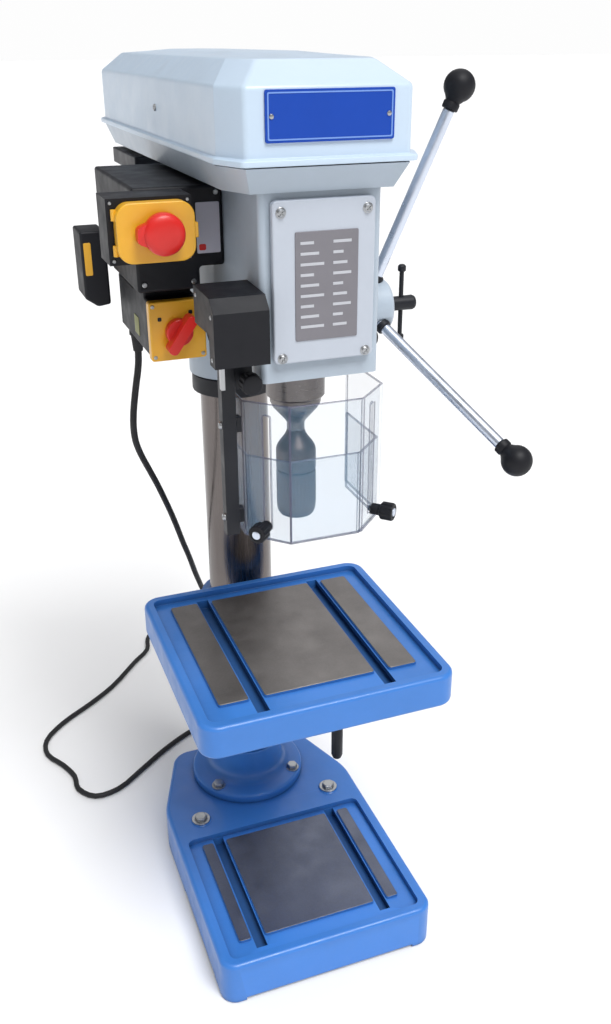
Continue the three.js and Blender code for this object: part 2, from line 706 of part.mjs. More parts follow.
const SHIELD_HALF = 74.5;
const SHIELD_FRONT = -318.5;
const FACET_HALF = 38.5;
const FACET_BACK = -282;
const SHIELD_THICK = 3;
const BISECT = Math.tan(Math.PI / 8);

function shieldPlan(inset, leftEnd, rightEnd) {
  const side = SHIELD_HALF - inset;
  const front = SHIELD_FRONT + inset;
  const slope = inset * BISECT;
  return [
    [-side, leftEnd], [-side, FACET_BACK + slope], [-FACET_HALF + slope, front],
    [FACET_HALF - slope, front], [side, FACET_BACK + slope], [side, rightEnd],
  ];
}

function shield(inset, leftEnd, rightEnd, z0, z1) {
  const outside = shieldPlan(inset - SHIELD_THICK / 2, leftEnd, rightEnd);
  const inside = shieldPlan(inset + SHIELD_THICK / 2, leftEnd, rightEnd);
  return slab(polygon([...outside, ...inside.reverse()]), z0, z1);
}

const facetX = (FACET_HALF + SHIELD_HALF) / 2;
const facetY = (SHIELD_FRONT + FACET_BACK) / 2;

function facetTool(side) {
  const slotTop = 735;
  const tool = block(-3.4, 3.4, -12, 12, GUARD_KNOB_Z - 5, slotTop);
  return tool.rotateZ(side * Math.PI / 4).translate(side * facetX, facetY, 0);
}

const upperShield = cut(shield(0, -232, -190, GUARD_BOTTOM + 3, 748), facetTool(-1), facetTool(1));
add(machine, 'upper_shield', upperShield, 'clear');
add(machine, 'lower_shield', shield(3.5, -236, -200, GUARD_BOTTOM, 690), 'clear');
for (const [name, side] of [['guard_knob_left', -1], ['guard_knob_right', 1]]) {
  const profile = profileOf([
    [0, -1.6], [2.9, -1.6], [2.9, 2.2], [6, 2.2], [6, 12], [9.5, 15], [9.5, 25], [8, 27], [0, 27],
  ]);
  const knob = add(machine, name, new THREE.LatheGeometry(profile, 16), 'black');
  knob.rotation.set(0, 0, side > 0 ? -0.75 * Math.PI : 0.75 * Math.PI);
  knob.position.set(side * facetX, facetY, GUARD_KNOB_Z);
}
const postKnob = buttonAt(-73, 772, [
  [0, 285 + GAP], [4, 285 + GAP], [4, 298], [8, 300], [10.5, 303], [10.5, 312], [9, 315], [0, 315],
], 16);
add(machine, 'guard_post_knob', postKnob, 'black');

// Power cord: gland, the run to the coil, the coil and the plug
const GLAND = [-130, -62];
const CORD_ROUTE = [
  [-130, -62, 743.7], [-131, -62, 728], [-136, -61, 700], [-140, -58, 672], [-141, -54, 650],
  [-139, -49, 630], [-133, -43, 610], [-123, -33, 586], [-112, -20, 560], [-101, -4, 532],
  [-89, 15, 500], [-77, 37, 466], [-65, 60, 430], [-52, 82, 393], [-38, 108, 350],
  [-20, 142, 300], [-1, 186, 246], [15, 238, 192], [28, 293, 143], [37, 350, 100], [41, 400, 68],
  [42, 440, 44], [38, 479, 25], [27, 511, 11], [3, 530, 5.2], [-28, 527, 4.2], [-47, 502, 4.2],
  [-57, 463, 4.2], [-88, 429, 4.2], [-142, 366, 4.2], [-190, 326, 4.2], [-242, 288, 4.2],
  [-275, 249, 4.2], [-278, 212, 4.2], [-258, 176, 4.2], [-245, 142, 4.2], [-244, 110, 4.2],
  [-222, 84, 4.2], [-186, 88, 4.2], [-142, 120, 4.2], [-96, 156, 4.2], [-49, 185, 4.2],
  [-2, 202, 4.2], [34, 203.4, 4.2], [62, 203.4, 4.2],
];
add(machine, 'cord_gland', turned([
  [0, 744], [5.5, 744], [6.2, 752], [7.2, 763], [8.6, 763], [8.6, 768 - GAP], [0, 768 - GAP],
], 20), 'rubber').position.set(GLAND[0], GLAND[1], 0);

function roundSection(radius, sides) {
  const section = new THREE.Shape();
  for (let i = 0; i < sides; i += 1) {
    const turn = (2 * Math.PI * (i + 0.5)) / sides;
    const [x, y] = [radius * Math.cos(turn), radius * Math.sin(turn)];
    if (i === 0) {
      section.moveTo(x, y);
    } else {
      section.lineTo(x, y);
    }
  }
  return section;
}

const route = new THREE.CatmullRomCurve3(CORD_ROUTE.map((point) => new THREE.Vector3(...point)));
const cordShape = new THREE.ExtrudeGeometry(roundSection(CORD_R, 8), {
  steps: 78, bevelEnabled: false, extrudePath: route,
});
add(machine, 'power_cord', cordShape, 'rubber');
const coilShape = tube(COIL_R - 2 * CORD_R, COIL_R + 2 * CORD_R, 0.2, COIL_TOP, 28);
add(machine, 'cord_coil', coilShape, 'rubber').position.set(COIL_X, COIL_Y, 0);
const plugShape = join(
  block(-19, 19, -14, 22, 0.2, 30),
  block(-12, 12, 21, 40, 6, 24),
  ...[-9.5, 9.5].map((x) => depthbar(2.4, -34, -13, x, 15, 12)),
);
add(machine, 'plug', plugShape, 'rubber').position.set(COIL_X + 88, COIL_Y + 20, 0);

const drillPress = new THREE.Group();
machine.position.set(COLUMN_X, COLUMN_Y, 0);
drillPress.add(machine);

export default drillPress;
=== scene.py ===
"""Looks of the bench drill press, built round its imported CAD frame. Lengths in the tables are millimetres
about the column's axis; at() turns them into metres in the model's frame."""

import json
import math

import bmesh
import bpy
from mathutils import Matrix, Vector


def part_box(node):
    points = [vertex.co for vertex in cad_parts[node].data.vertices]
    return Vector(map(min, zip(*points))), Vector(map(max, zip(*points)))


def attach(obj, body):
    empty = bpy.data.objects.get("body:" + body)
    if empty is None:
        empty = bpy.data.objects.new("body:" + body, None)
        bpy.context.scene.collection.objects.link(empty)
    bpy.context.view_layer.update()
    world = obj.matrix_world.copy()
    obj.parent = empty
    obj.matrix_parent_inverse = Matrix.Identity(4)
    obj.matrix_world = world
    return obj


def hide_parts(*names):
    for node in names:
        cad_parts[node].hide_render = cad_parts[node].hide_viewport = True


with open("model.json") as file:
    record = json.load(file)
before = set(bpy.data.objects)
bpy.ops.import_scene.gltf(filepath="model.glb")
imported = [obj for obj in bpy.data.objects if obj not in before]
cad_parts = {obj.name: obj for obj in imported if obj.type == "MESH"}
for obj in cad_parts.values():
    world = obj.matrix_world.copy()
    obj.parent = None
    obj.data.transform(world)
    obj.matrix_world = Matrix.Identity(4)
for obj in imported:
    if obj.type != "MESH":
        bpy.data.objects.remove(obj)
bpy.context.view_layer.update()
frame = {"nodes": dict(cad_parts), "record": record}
NODES = frame["nodes"]
MM = 0.001
_low, _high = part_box("column")
AXIS = Vector(((_low.x + _high.x) / 2, (_low.y + _high.y) / 2, 0))
BODY_OF = {n: body for body, names in frame["record"]["behaviour"]["bodies"].items() for n in names}


def at(x, y, z):
    return Vector((AXIS.x + x * MM, AXIS.y + y * MM, z * MM))


# ---------------------------------------------------------------- camera
EYE = (-342.72, -1174.87, 1066.30)
YAW, PITCH, ROLL = -20.49, 25.27, 0.26
SENSOR = 36
FOCAL_PIXELS, PICTURE_PIXELS = 1004.49, 1024


def make_camera():
    eye = at(*EYE)
    yaw, pitch, roll = math.radians(YAW), math.radians(PITCH), math.radians(ROLL)
    forward = Vector((-math.sin(yaw) * math.cos(pitch), math.cos(yaw) * math.cos(pitch), -math.sin(pitch)))
    right = Vector((math.cos(yaw), math.sin(yaw), 0))
    up = right.cross(forward)
    turned_right = right * math.cos(roll) - up * math.sin(roll)
    turned_up = right * math.sin(roll) + up * math.cos(roll)
    data = bpy.data.cameras.new("camera")
    data.sensor_width = SENSOR
    data.lens = SENSOR * FOCAL_PIXELS / PICTURE_PIXELS
    data.clip_start = 0.05
    data.clip_end = 100
    camera = bpy.data.objects.new("camera", data)
    rotation = Matrix((turned_right, turned_up, -forward)).transposed().to_4x4()
    camera.matrix_world = Matrix.Translation(eye) @ rotation
    bpy.context.scene.collection.objects.link(camera)
    bpy.context.scene.camera = camera


make_camera()


# ---------------------------------------------------------------- materials
def linear(r, g, b):
    parts = []
    for value in (r, g, b):
        c = value / 255
        parts.append(c / 12.92 if c <= 0.04045 else ((c + 0.055) / 1.055) ** 2.4)
    return (*parts, 1.0)


def scaled(colour, factor):
    return (*[min(1.0, c * factor) for c in colour[:3]], 1.0)


class Look:
    """A material with a Principled shader and a row of small helpers for its nodes."""

    def __init__(self, name, rough, metal=0.0, coat=0.0, specular=0.5):
        self.mat = bpy.data.materials.new(name)
        self.mat.use_nodes = True
        self.tree = self.mat.node_tree
        self.shader = self.tree.nodes["Principled BSDF"]
        self.shader.inputs["Roughness"].default_value = rough
        self.shader.inputs["Metallic"].default_value = metal
        self.shader.inputs["Coat Weight"].default_value = coat
        self.shader.inputs["Coat Roughness"].default_value = 0.12
        self.shader.inputs["Specular IOR Level"].default_value = specular

    def node(self, kind, **values):
        made = self.tree.nodes.new(kind)
        for key, value in values.items():
            setattr(made, key, value)
        return made

    def link(self, a, b):
        self.tree.links.new(a, b)

    def coords(self, stretch):
        source = self.node("ShaderNodeTexCoord")
        mapping = self.node("ShaderNodeMapping")
        mapping.inputs["Scale"].default_value = stretch
        self.link(source.outputs["Object"], mapping.inputs["Vector"])
        return mapping.outputs["Vector"]

    def noise(self, scale, detail=4.0, stretch=(1, 1, 1), rough=0.55):
        made = self.node("ShaderNodeTexNoise")
        made.inputs["Scale"].default_value = scale
        made.inputs["Detail"].default_value = detail
        made.inputs["Roughness"].default_value = rough
        self.link(self.coords(stretch), made.inputs["Vector"])
        return made.outputs["Fac"]

    def ramp(self, source, stops):
        made = self.node("ShaderNodeValToRGB")
        ramp = made.color_ramp
        while len(ramp.elements) < len(stops):
            ramp.elements.new(0.5)
        for element, (place, colour) in zip(ramp.elements, stops):
            element.position = place
            element.color = colour
        self.link(source, made.inputs["Fac"])
        return made.outputs["Color"]

    def spread(self, source, low, high):
        made = self.node("ShaderNodeMapRange")
        made.inputs["From Min"].default_value = 0.3
        made.inputs["From Max"].default_value = 0.7
        made.inputs["To Min"].default_value = low
        made.inputs["To Max"].default_value = high
        self.link(source, made.inputs["Value"])
        return made.outputs["Result"]

    def mix(self, a, b, factor):
        made = self.node("ShaderNodeMix", data_type="RGBA")
        for socket, value in ((made.inputs[6], a), (made.inputs[7], b), (made.inputs[0], factor)):
            if isinstance(value, (tuple, float)):
                socket.default_value = value
            else:
                self.link(value, socket)
        return made.outputs[2]

    def bump(self, source, strength, distance=0.0004):
        made = self.node("ShaderNodeBump")
        made.inputs["Strength"].default_value = strength
        made.inputs["Distance"].default_value = distance
        self.link(source, made.inputs["Height"])
        previous = self.shader.inputs["Normal"].links
        if previous:
            self.link(previous[0].from_socket, made.inputs["Normal"])
        self.link(made.outputs["Normal"], self.shader.inputs["Normal"])

    def colour(self, socket):
        self.link(socket, self.shader.inputs["Base Color"])

    def roughness(self, socket):
        self.link(socket, self.shader.inputs["Roughness"])


def painted(name, colour, rough, grain, grain_scale, coat, mottle, metal=0.0, edge=0.3, specular=0.5,
            corner_shade=0.0):
    """Enamel or moulded plastic: slow colour drift, dusty roughness, an orange-peel or cast grain, a painted
    highlight on convex edges, painted shade in creases and, where asked, painted shade in sheltered corners.
    """
    look = Look(name, rough, metal, coat, specular)
    stops = [(0.3, scaled(colour, 1 - mottle)), (0.7, scaled(colour, 1 + mottle))]
    base = look.ramp(look.noise(14.0), stops)
    dusty = [(0.35, scaled(colour, 1 - mottle)), (0.8, scaled(colour, 1.02))]
    dust = look.ramp(look.noise(160.0, 6.0), dusty)
    bend = look.node("ShaderNodeNewGeometry").outputs["Pointiness"]
    # Painted highlight on convex edges and painted shade in creases, both read from pointiness.
    edge_highlight = look.ramp(bend, [(0.505, (0, 0, 0, 1)), (0.56, (edge, edge, edge, 1))])
    crease_shade = look.ramp(bend, [(0.44, (edge, edge, edge, 1)), (0.495, (0, 0, 0, 1))])
    edge_lit = look.mix(look.mix(base, dust, 0.35), scaled(colour, 1.5), edge_highlight)
    colour_with_painted_light = look.mix(edge_lit, scaled(colour, 0.45), crease_shade)
    # Painted shade: ambient occlusion darkens the colour in corners and recesses.
    if corner_shade:
        occlusion = look.node("ShaderNodeAmbientOcclusion", samples=6)
        occlusion.inputs["Distance"].default_value = 0.014
        shade_stops = [(0.35, (corner_shade, corner_shade, corner_shade, 1)), (0.85, (0, 0, 0, 1))]
        corner = look.ramp(occlusion.outputs["AO"], shade_stops)
        colour_with_painted_light = look.mix(colour_with_painted_light, scaled(colour, 0.35), corner)
    look.colour(colour_with_painted_light)
    look.roughness(look.spread(look.noise(45.0, 6.0), rough - 0.06, rough + 0.1))
    look.bump(look.noise(grain_scale, 3.0), grain)
    look.bump(look.noise(60.0, 2.0), grain * 0.3, 0.001)
    return look.mat


def ground(name, colour, rough, stretch, streak, scale):
    """Bare metal with fine tool marks drawn out along one direction."""
    look = Look(name, rough, 1.0)
    marks = look.noise(scale, 5.0, stretch, 0.7)
    cloud = look.noise(9.0, 3.0)
    base = look.ramp(marks, [(0.25, scaled(colour, 1 - streak)), (0.75, scaled(colour, 1 + streak))])
    stain = look.ramp(cloud, [(0.3, scaled(colour, 0.78)), (0.62, scaled(colour, 1.08))])
    look.colour(look.mix(base, stain, 0.4))
    look.roughness(look.spread(marks, rough - 0.07, rough + 0.12))
    look.bump(marks, 0.08, 0.0002)
    return look.mat


def milled(name, colour):
    """Face-milled iron: overlapping arcs of the cutter under a grey-brown film of oil."""
    rough = 0.42
    look = Look(name, rough, 0.85)
    wave = look.node("ShaderNodeTexWave", wave_type="RINGS", rings_direction="Z")
    wave.inputs["Scale"].default_value = 26.0
    wave.inputs["Distortion"].default_value = 1.2
    wave.inputs["Detail"].default_value = 3.0
    source = look.node("ShaderNodeTexCoord")
    shift = look.node("ShaderNodeMapping")
    shift.inputs["Location"].default_value = (0.4, 0.9, 0)
    look.link(source.outputs["Object"], shift.inputs["Vector"])
    look.link(shift.outputs["Vector"], wave.inputs["Vector"])
    arcs = wave.outputs["Fac"]
    film = look.noise(11.0, 5.0)
    tint = [(0.25, scaled(colour, 0.8)), (0.5, colour), (0.75, scaled(colour, 1.25))]
    fine = look.ramp(look.noise(500.0, 4.0), [(0.3, scaled(colour, 0.85)), (0.7, scaled(colour, 1.1))])
    look.colour(look.mix(look.ramp(film, tint), fine, 0.4))
    look.roughness(look.spread(look.noise(30.0, 6.0), rough - 0.1, rough + 0.12))
    look.bump(arcs, 0.1, 0.0002)
    look.bump(look.noise(400.0, 2.0), 0.06, 0.0002)
    return look.mat


def clear(name, colour, alpha, rough):
    """Polycarbonate sheet, faintly blue, with a haze of fine scratches."""
    look = Look(name, rough, 0.0, 0.0, 0.6)
    look.shader.inputs["Alpha"].default_value = alpha
    haze = look.ramp(look.noise(35.0, 5.0), [(0.3, scaled(colour, 0.94)), (0.7, scaled(colour, 1.04))])
    look.colour(haze)
    look.roughness(look.spread(look.noise(300.0, 5.0, (1, 1, 0.1)), rough, rough + 0.08))
    return look.mat


BLUE = linear(54, 118, 196)
GREY = linear(168, 180, 192)
COVER = linear(193, 211, 229)
IRON = linear(136, 132, 130)
LOOK = {
    # The last arguments of the blue and grey enamels set how much painted shade their corners get.
    "blue": painted("blue_enamel", BLUE, 0.36, 0.14, 260.0, 0.15, 0.07, 0.0, 0.3, 0.5, 0.75),
    # A darker copy of the blue enamel: painted shade inside the T-slots.
    "slot_shade_blue": painted("blue_enamel_slot_shade", scaled(BLUE, 0.42), 0.5, 0.2, 260.0, 0.0, 0.12),
    "grey": painted("grey_enamel", GREY, 0.4, 0.16, 240.0, 0.1, 0.05, 0.0, 0.25, 0.5, 0.4),
    "pale": painted("pale_enamel", linear(180, 187, 198), 0.38, 0.05, 300.0, 0.15, 0.03),
    "cover": painted("cover_skin", COVER, 0.34, 0.02, 150.0, 0.15, 0.02, 0.0, 0.15),
    "black": painted("black_moulding", linear(19, 20, 26), 0.5, 0.1, 300.0, 0.0, 0.04, 0.0, 0.12, 0.3),
    "dark": painted("satin_black", linear(22, 24, 31), 0.44, 0.08, 300.0, 0.0, 0.05, 0.0, 0.15, 0.35),
    "rubber": painted("black_rubber", linear(20, 20, 23), 0.6, 0.12, 600.0, 0.0, 0.12),
    "yellow": painted("yellow_plastic", linear(222, 164, 38), 0.34, 0.05, 500.0, 0.15, 0.05),
    "red": painted("red_plastic", linear(202, 30, 24), 0.36, 0.05, 500.0, 0.1, 0.06),
    "olive": painted("olive_label", linear(122, 124, 70), 0.5, 0.05, 300.0, 0.0, 0.05),
    "green": painted("green_plastic", linear(40, 150, 70), 0.3, 0.05, 500.0, 0.2, 0.05),
    "badge": painted("blue_badge", linear(2, 64, 166), 0.4, 0.03, 300.0, 0.0, 0.06, 0.0, 0.2, 0.35),
    "badge_edge": painted("badge_border", linear(104, 140, 205), 0.36, 0.03, 500.0, 0.1, 0.04),
    "paper": painted("pale_label", linear(186, 184, 196), 0.5, 0.05, 500.0, 0.0, 0.03),
    "print": painted("pale_print", linear(176, 178, 184), 0.5, 0.03, 500.0, 0.0, 0.05),
    "column": ground("ground_column", linear(112, 106, 104), 0.22, (30, 30, 0.4), 0.22, 8.0),
    "steel": ground("turned_steel", linear(122, 118, 117), 0.3, (1, 1, 8), 0.1, 120.0),
    "gunmetal": ground("chuck_steel", linear(98, 88, 84), 0.42, (1, 1, 8), 0.16, 120.0),
    "chrome": ground("bright_rod", linear(214, 222, 236), 0.3, (1, 1, 1), 0.02, 60.0),
    "bolt": ground("zinc_bolt", linear(176, 178, 180), 0.32, (1, 1, 1), 0.1, 200.0),
    "alloy": ground("turned_alloy", linear(172, 174, 178), 0.32, (1, 1, 8), 0.08, 120.0),
    "iron": milled("milled_iron", IRON),
    # A darker, bluer copy of the milled iron: painted shade on the base's pads, which lie under the table.
    "iron_in_shade": milled("milled_iron_painted_shade", linear(108, 113, 128)),
    "data": painted("data_plate_grey", linear(122, 120, 126), 0.4, 0.04, 400.0, 0.1, 0.08, 0.3),
    "clear": clear("clear_guard", linear(120, 166, 200), 0.1, 0.04),
    "clear_edge": clear("guard_edge", linear(84, 86, 112), 0.62, 0.14),
}


# ---------------------------------------------------------------- mesh tools
SMOOTH_ANGLE = 38
BLOCK_FACES = ((3, 2, 1, 0), (4, 5, 6, 7), (0, 1, 5, 4), (1, 2, 6, 5), (2, 3, 7, 6), (3, 0, 4, 7))


def new_object(name, vertices, faces):
    mesh = bpy.data.meshes.new(name)
    mesh.from_pydata([tuple(v) for v in vertices], [], faces)
    made = bpy.data.objects.new(name, mesh)
    bpy.context.scene.collection.objects.link(made)
    return made


def tidy_mesh(obj, flat=0.6):
    """Welds, merges coplanar faces and turns every face outwards."""
    mesh = bmesh.new()
    mesh.from_mesh(obj.data)
    bmesh.ops.remove_doubles(mesh, verts=mesh.verts, dist=2e-6)
    bmesh.ops.dissolve_limit(mesh, angle_limit=math.radians(flat), verts=mesh.verts, edges=mesh.edges)
    bmesh.ops.recalc_face_normals(mesh, faces=mesh.faces)
    mesh.to_mesh(obj.data)
    mesh.free()


def soften(obj, width, segments=3, angle=32, bevel_material=-1):
    """Rounds the hard edges and shades the rest smooth."""
    for polygon in obj.data.polygons:
        polygon.use_smooth = True
    obj.data.set_sharp_from_angle(angle=math.radians(SMOOTH_ANGLE))
    if width:
        bevel = obj.modifiers.new("round", "BEVEL")
        bevel.width = width * MM
        bevel.segments = segments
        bevel.limit_method = "ANGLE"
        bevel.angle_limit = math.radians(angle)
        bevel.miter_outer = "MITER_ARC"
        bevel.material = bevel_material
        weighted = obj.modifiers.new("normals", "WEIGHTED_NORMAL")
        weighted.keep_sharp = True


def dress(obj, look, body, hides=()):
    obj.data.materials.clear()
    obj.data.materials.append(LOOK[look])
    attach(obj, body)
    if hides:
        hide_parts(*hides)
    return obj


def refine(node, look, width, segments=2, name=None):
    """A copy of a CAD node with rounded edges, which stands for it."""
    made = bpy.data.objects.new(name or node + "_shape", NODES[node].data.copy())
    bpy.context.scene.collection.objects.link(made)
    tidy_mesh(made)
    soften(made, width, segments)
    return dress(made, look, BODY_OF[node], (node,))


def box_solid(name, x0, x1, y0, y1, z0, z1):
    corners = [at(x, y, z) for z in (z0, z1) for y in (y0, y1) for x in (x0, x1)]
    faces = [(0, 2, 3, 1), (4, 5, 7, 6), (0, 1, 5, 4), (2, 6, 7, 3), (0, 4, 6, 2), (1, 3, 7, 5)]
    return new_object(name, corners, faces)


def rings_solid(name, rings):
    """A closed skin over a row of rings that all have the same number of points."""
    count = len(rings[0])
    vertices = [point for ring in rings for point in ring]
    faces = [tuple(range(count))[::-1]]
    for level in range(len(rings) - 1):
        for i in range(count):
            a, b = level * count + i, level * count + (i + 1) % count
            faces.append((a, b, b + count, a + count))
    last = (len(rings) - 1) * count
    faces.append(tuple(range(last, last + count)))
    return new_object(name, vertices, faces)


def rounded_outline(points, radii, steps=6):
    """A polygon's outline with each corner turned into an arc."""
    outline = []
    count = len(points)
    for i in range(count):
        p = Vector(points[i])
        before = (Vector(points[i - 1]) - p).normalized()
        after = (Vector(points[(i + 1) % count]) - p).normalized()
        half = before.angle(after) / 2
        reach = radii[i] / math.tan(half)
        centre = p + (before + after).normalized() * (radii[i] / math.sin(half))
        start, end = p + before * reach - centre, p + after * reach - centre
        sweep = math.atan2(start.x * end.y - start.y * end.x, start.dot(end))
        for k in range(steps + 1):
            turn = sweep * k / steps
            c, s = math.cos(turn), math.sin(turn)
            outline.append((centre.x + start.x * c - start.y * s, centre.y + start.x * s + start.y * c))
    return outline


def shrunk(points, inset):
    """A convex polygon with each side moved inwards."""
    lines = []
    count = len(points)
    for i in range(count):
        a, b = Vector(points[i]), Vector(points[(i + 1) % count])
        along = (b - a).normalized()
        normal = Vector((-along.y, along.x))
        lines.append((a + normal * inset, along))
    corners = []
    for i in range(count):
        (p, u), (q, v) = lines[i - 1], lines[i]
        cross = u.x * v.y - u.y * v.x
        t = ((q.x - p.x) * v.y - (q.y - p.y) * v.x) / cross
        corners.append(tuple(p + u * t))
    return corners


def prism(name, outline, z0, z1):
    return rings_solid(name, [[at(x, y, z) for x, y in outline] for z in (z0, z1)])


def rectangle(x0, x1, y0, y1):
    return [(x0, y0), (x1, y0), (x1, y1), (x0, y1)]


def plate_xz(name, x0, x1, z0, z1, y0, y1, radius):
    """A plate that faces the operator, with rounded corners."""
    outline = rounded_outline(rectangle(x0, x1, z0, z1), [radius] * 4)
    return rings_solid(name, [[at(x, y, z) for x, z in outline] for y in (y1, y0)])


def slab(name, points, radii, levels):
    """A casting's block: the plan shrunk by each level's inset at each level's height."""
    rings = []
    for inset, z in levels:
        plan = shrunk(points, inset)
        kept = [max(radius - inset, 1.0) for radius in radii]
        rings.append([at(x, y, z) for x, y in rounded_outline(plan, kept, 8)])
    return rings_solid(name, rings)


def edge_levels(bottom, top, low, high):
    """Insets and heights of a block with rounded lower and upper edges."""
    levels = []
    steps = 5
    for i in range(steps + 1):
        turn = math.pi / 2 * i / steps
        levels.append((low * (1 - math.sin(turn)), bottom + low * (1 - math.cos(turn))))
    for i in range(steps + 1):
        turn = math.pi / 2 * i / steps
        levels.append((high * (1 - math.cos(turn)), top - high + high * math.sin(turn)))
    return levels


def basis(axis):
    along = Vector(axis).normalized()
    side = along.orthogonal().normalized()
    return along, side, along.cross(side)


def lathe(name, profile, origin, axis=(0, 0, 1), segments=48, closed=False, flutes=None):
    """Turns (radius, height) points about an axis. flutes = (depth, count, from, to) cuts grooves."""
    along, side, third = basis(axis)
    start = at(*origin)
    rings = []
    vertices = []
    for radius, height in profile:
        centre = start + along * height * MM
        if radius == 0:
            vertices.append(centre)
            rings.append([len(vertices) - 1] * segments)
            continue
        first = len(vertices)
        for i in range(segments):
            turn = 2 * math.pi * i / segments
            r = radius
            if flutes and flutes[2] <= height <= flutes[3] and i * flutes[1] * 2 // segments % 2:
                r -= flutes[0]
            vertices.append(centre + (side * math.cos(turn) + third * math.sin(turn)) * r * MM)
        rings.append(list(range(first, first + segments)))
    if closed:
        rings.append(rings[0])
    faces = []
    for lower, upper in zip(rings, rings[1:]):
        for i in range(segments):
            j = (i + 1) % segments
            face = []
            for index in (lower[i], lower[j], upper[j], upper[i]):
                if index not in face:
                    face.append(index)
            if len(face) > 2:
                faces.append(tuple(face))
    made = new_object(name, vertices, faces)
    mesh = bmesh.new()
    mesh.from_mesh(made.data)
    bmesh.ops.recalc_face_normals(mesh, faces=mesh.faces)
    mesh.to_mesh(made.data)
    mesh.free()
    return made


def carve(obj, cutters, operation="DIFFERENCE"):
    """Cuts or joins the other solids and keeps the result as a plain mesh."""
    for cutter in cutters:
        step = obj.modifiers.new("cut", "BOOLEAN")
        step.object = cutter
        step.operation = operation
        step.solver = "EXACT"
    graph = bpy.context.evaluated_depsgraph_get()
    result = bpy.data.meshes.new_from_object(obj.evaluated_get(graph))
    obj.modifiers.clear()
    obj.data = result
    for cutter in cutters:
        bpy.data.objects.remove(cutter)
    return obj


def cylinder(name, radius, z0, z1, x=0, y=0, segments=48):
    return lathe(name, [(0, 0), (radius, 0), (radius, z1 - z0), (0, z1 - z0)], (x, y, z0), segments=segments)


# ---------------------------------------------------------------- power cord
CORD_R = 4
COIL = (62, 262)
COIL_INNER, COIL_OUTER = 42, 50
LAYER_LOW, LAYER_HIGH = 4.2, 12.5
ROUTE = [
    (-130, -62, 743.7), (-131, -62, 728), (-136, -61, 700), (-140, -58, 672), (-141, -54, 650),
    (-139, -49, 630), (-133, -43, 610), (-123, -33, 586), (-112, -20, 560), (-101, -4, 532),
    (-89, 15, 500), (-77, 37, 466), (-65, 60, 430), (-52, 82, 393), (-38, 108, 350), (-20, 142, 300),
    (-1, 186, 246), (15, 238, 192), (28, 293, 143), (37, 350, 100), (41, 400, 68), (42, 440, 44),
    (38, 479, 25), (27, 511, 11), (3, 530, 5.2), (-28, 527, 4.2), (-47, 502, 4.2), (-57, 463, 4.2),
    (-88, 429, 4.2), (-142, 366, 4.2), (-190, 326, 4.2), (-242, 288, 4.2), (-275, 249, 4.2),
    (-278, 212, 4.2), (-258, 176, 4.2), (-245, 142, 4.2), (-244, 110, 4.2), (-222, 84, 4.2),
    (-186, 88, 4.2), (-142, 120, 4.2), (-96, 156, 4.2), (-49, 185, 4.2), (-2, 202, 4.2), (32, 207, 4.2),
]
TAIL = [(102, 229, 13), (124, 240, 14), (140, 251, 15), (145, 263.5, 15)]


def eased(value, start, end):
    t = min(1.0, max(0.0, (value - start) / (end - start)))
    return t * t * (3 - 2 * t)


def coil_points():
    """Two layers of two turns: out to in below, a step up, then in to out."""
    points = []
    for degrees in range(-90, 1381, 12):
        radius = COIL_OUTER - (COIL_OUTER - COIL_INNER) * eased(degrees, 170, 260)
        radius += (COIL_OUTER - COIL_INNER) * eased(degrees, 1020, 1110)
        z = LAYER_LOW + (LAYER_HIGH - LAYER_LOW) * eased(degrees, 540, 625)
        turn = math.radians(degrees)
        points.append((COIL[0] + radius * math.cos(turn), COIL[1] + radius * math.sin(turn), z))
    return points


PER_SPAN = 3
SPANS = (((0, 1), (1, 2), (2, 3)), ((0, 2), (1, 3)), ((1, 2),))


def centripetal(points):
    """A smooth line through the points, which doesn't overshoot between close ones."""
    knots = [Vector(p) for p in points]
    knots = [knots[0] * 2 - knots[1], *knots, knots[-1] * 2 - knots[-2]]
    line = []
    for i in range(1, len(knots) - 2):
        near = knots[i - 1:i + 3]
        t = [0.0]
        for a, b in zip(near, near[1:]):
            t.append(t[-1] + (b - a).length ** 0.5)
        for k in range(PER_SPAN):
            u = t[1] + (t[2] - t[1]) * k / PER_SPAN
            row = near
            for spans in SPANS:
                row = [
                    row[j] * ((t[b] - u) / (t[b] - t[a])) + row[j + 1] * ((u - t[a]) / (t[b] - t[a]))
                    for j, (a, b) in enumerate(spans)
                ]
            line.append(row[0])
    line.append(knots[-2])
    return line


def make_cord():
    line = centripetal(ROUTE + coil_points() + TAIL)
    curve = bpy.data.curves.new("cord", "CURVE")
    curve.dimensions = "3D"
    curve.bevel_depth = CORD_R * MM
    curve.bevel_resolution = 3
    curve.use_fill_caps = True
    spline = curve.splines.new("POLY")
    spline.points.add(len(line) - 1)
    for point, place in zip(spline.points, line):
        point.co = (*at(*place), 1)
    spline.use_smooth = True
    cord = bpy.data.objects.new("cord", curve)
    bpy.context.scene.collection.objects.link(cord)
    curve.materials.append(LOOK["rubber"])
    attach(cord, "frame")
    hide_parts("power_cord", "cord_coil")
    metres = [at(*place) for place in line]
    length = sum((b - a).length for a, b in zip(metres, metres[1:]))
    return cord, round(length, 3)


cord, cord_length = make_cord()
plug = refine("plug", "rubber", 2.5, 3, "plug_body")
refine("cord_gland", "rubber", 0.8)


# ---------------------------------------------------------------- base, column and table
BASE_PLAN = [(-140, -346), (140, -346), (140, -50), (96, 70), (-96, 70), (-140, -50)]
BASE_CORNERS = [20, 20, 90, 30, 30, 90]
BASE_TOP, BASE_PAD_HALF = 62, 74
TABLE_TOP, TABLE_PAD_HALF = 418, 66
RIM_DEPTH = 8
ANCHOR_X, ANCHOR_Y = 97, -88
SLOT_NEAR, SLOT_FAR, SLOT_UNDERCUT, SLOT_NECK, SLOT_DEPTH = 2, 16, 5, 14, 20


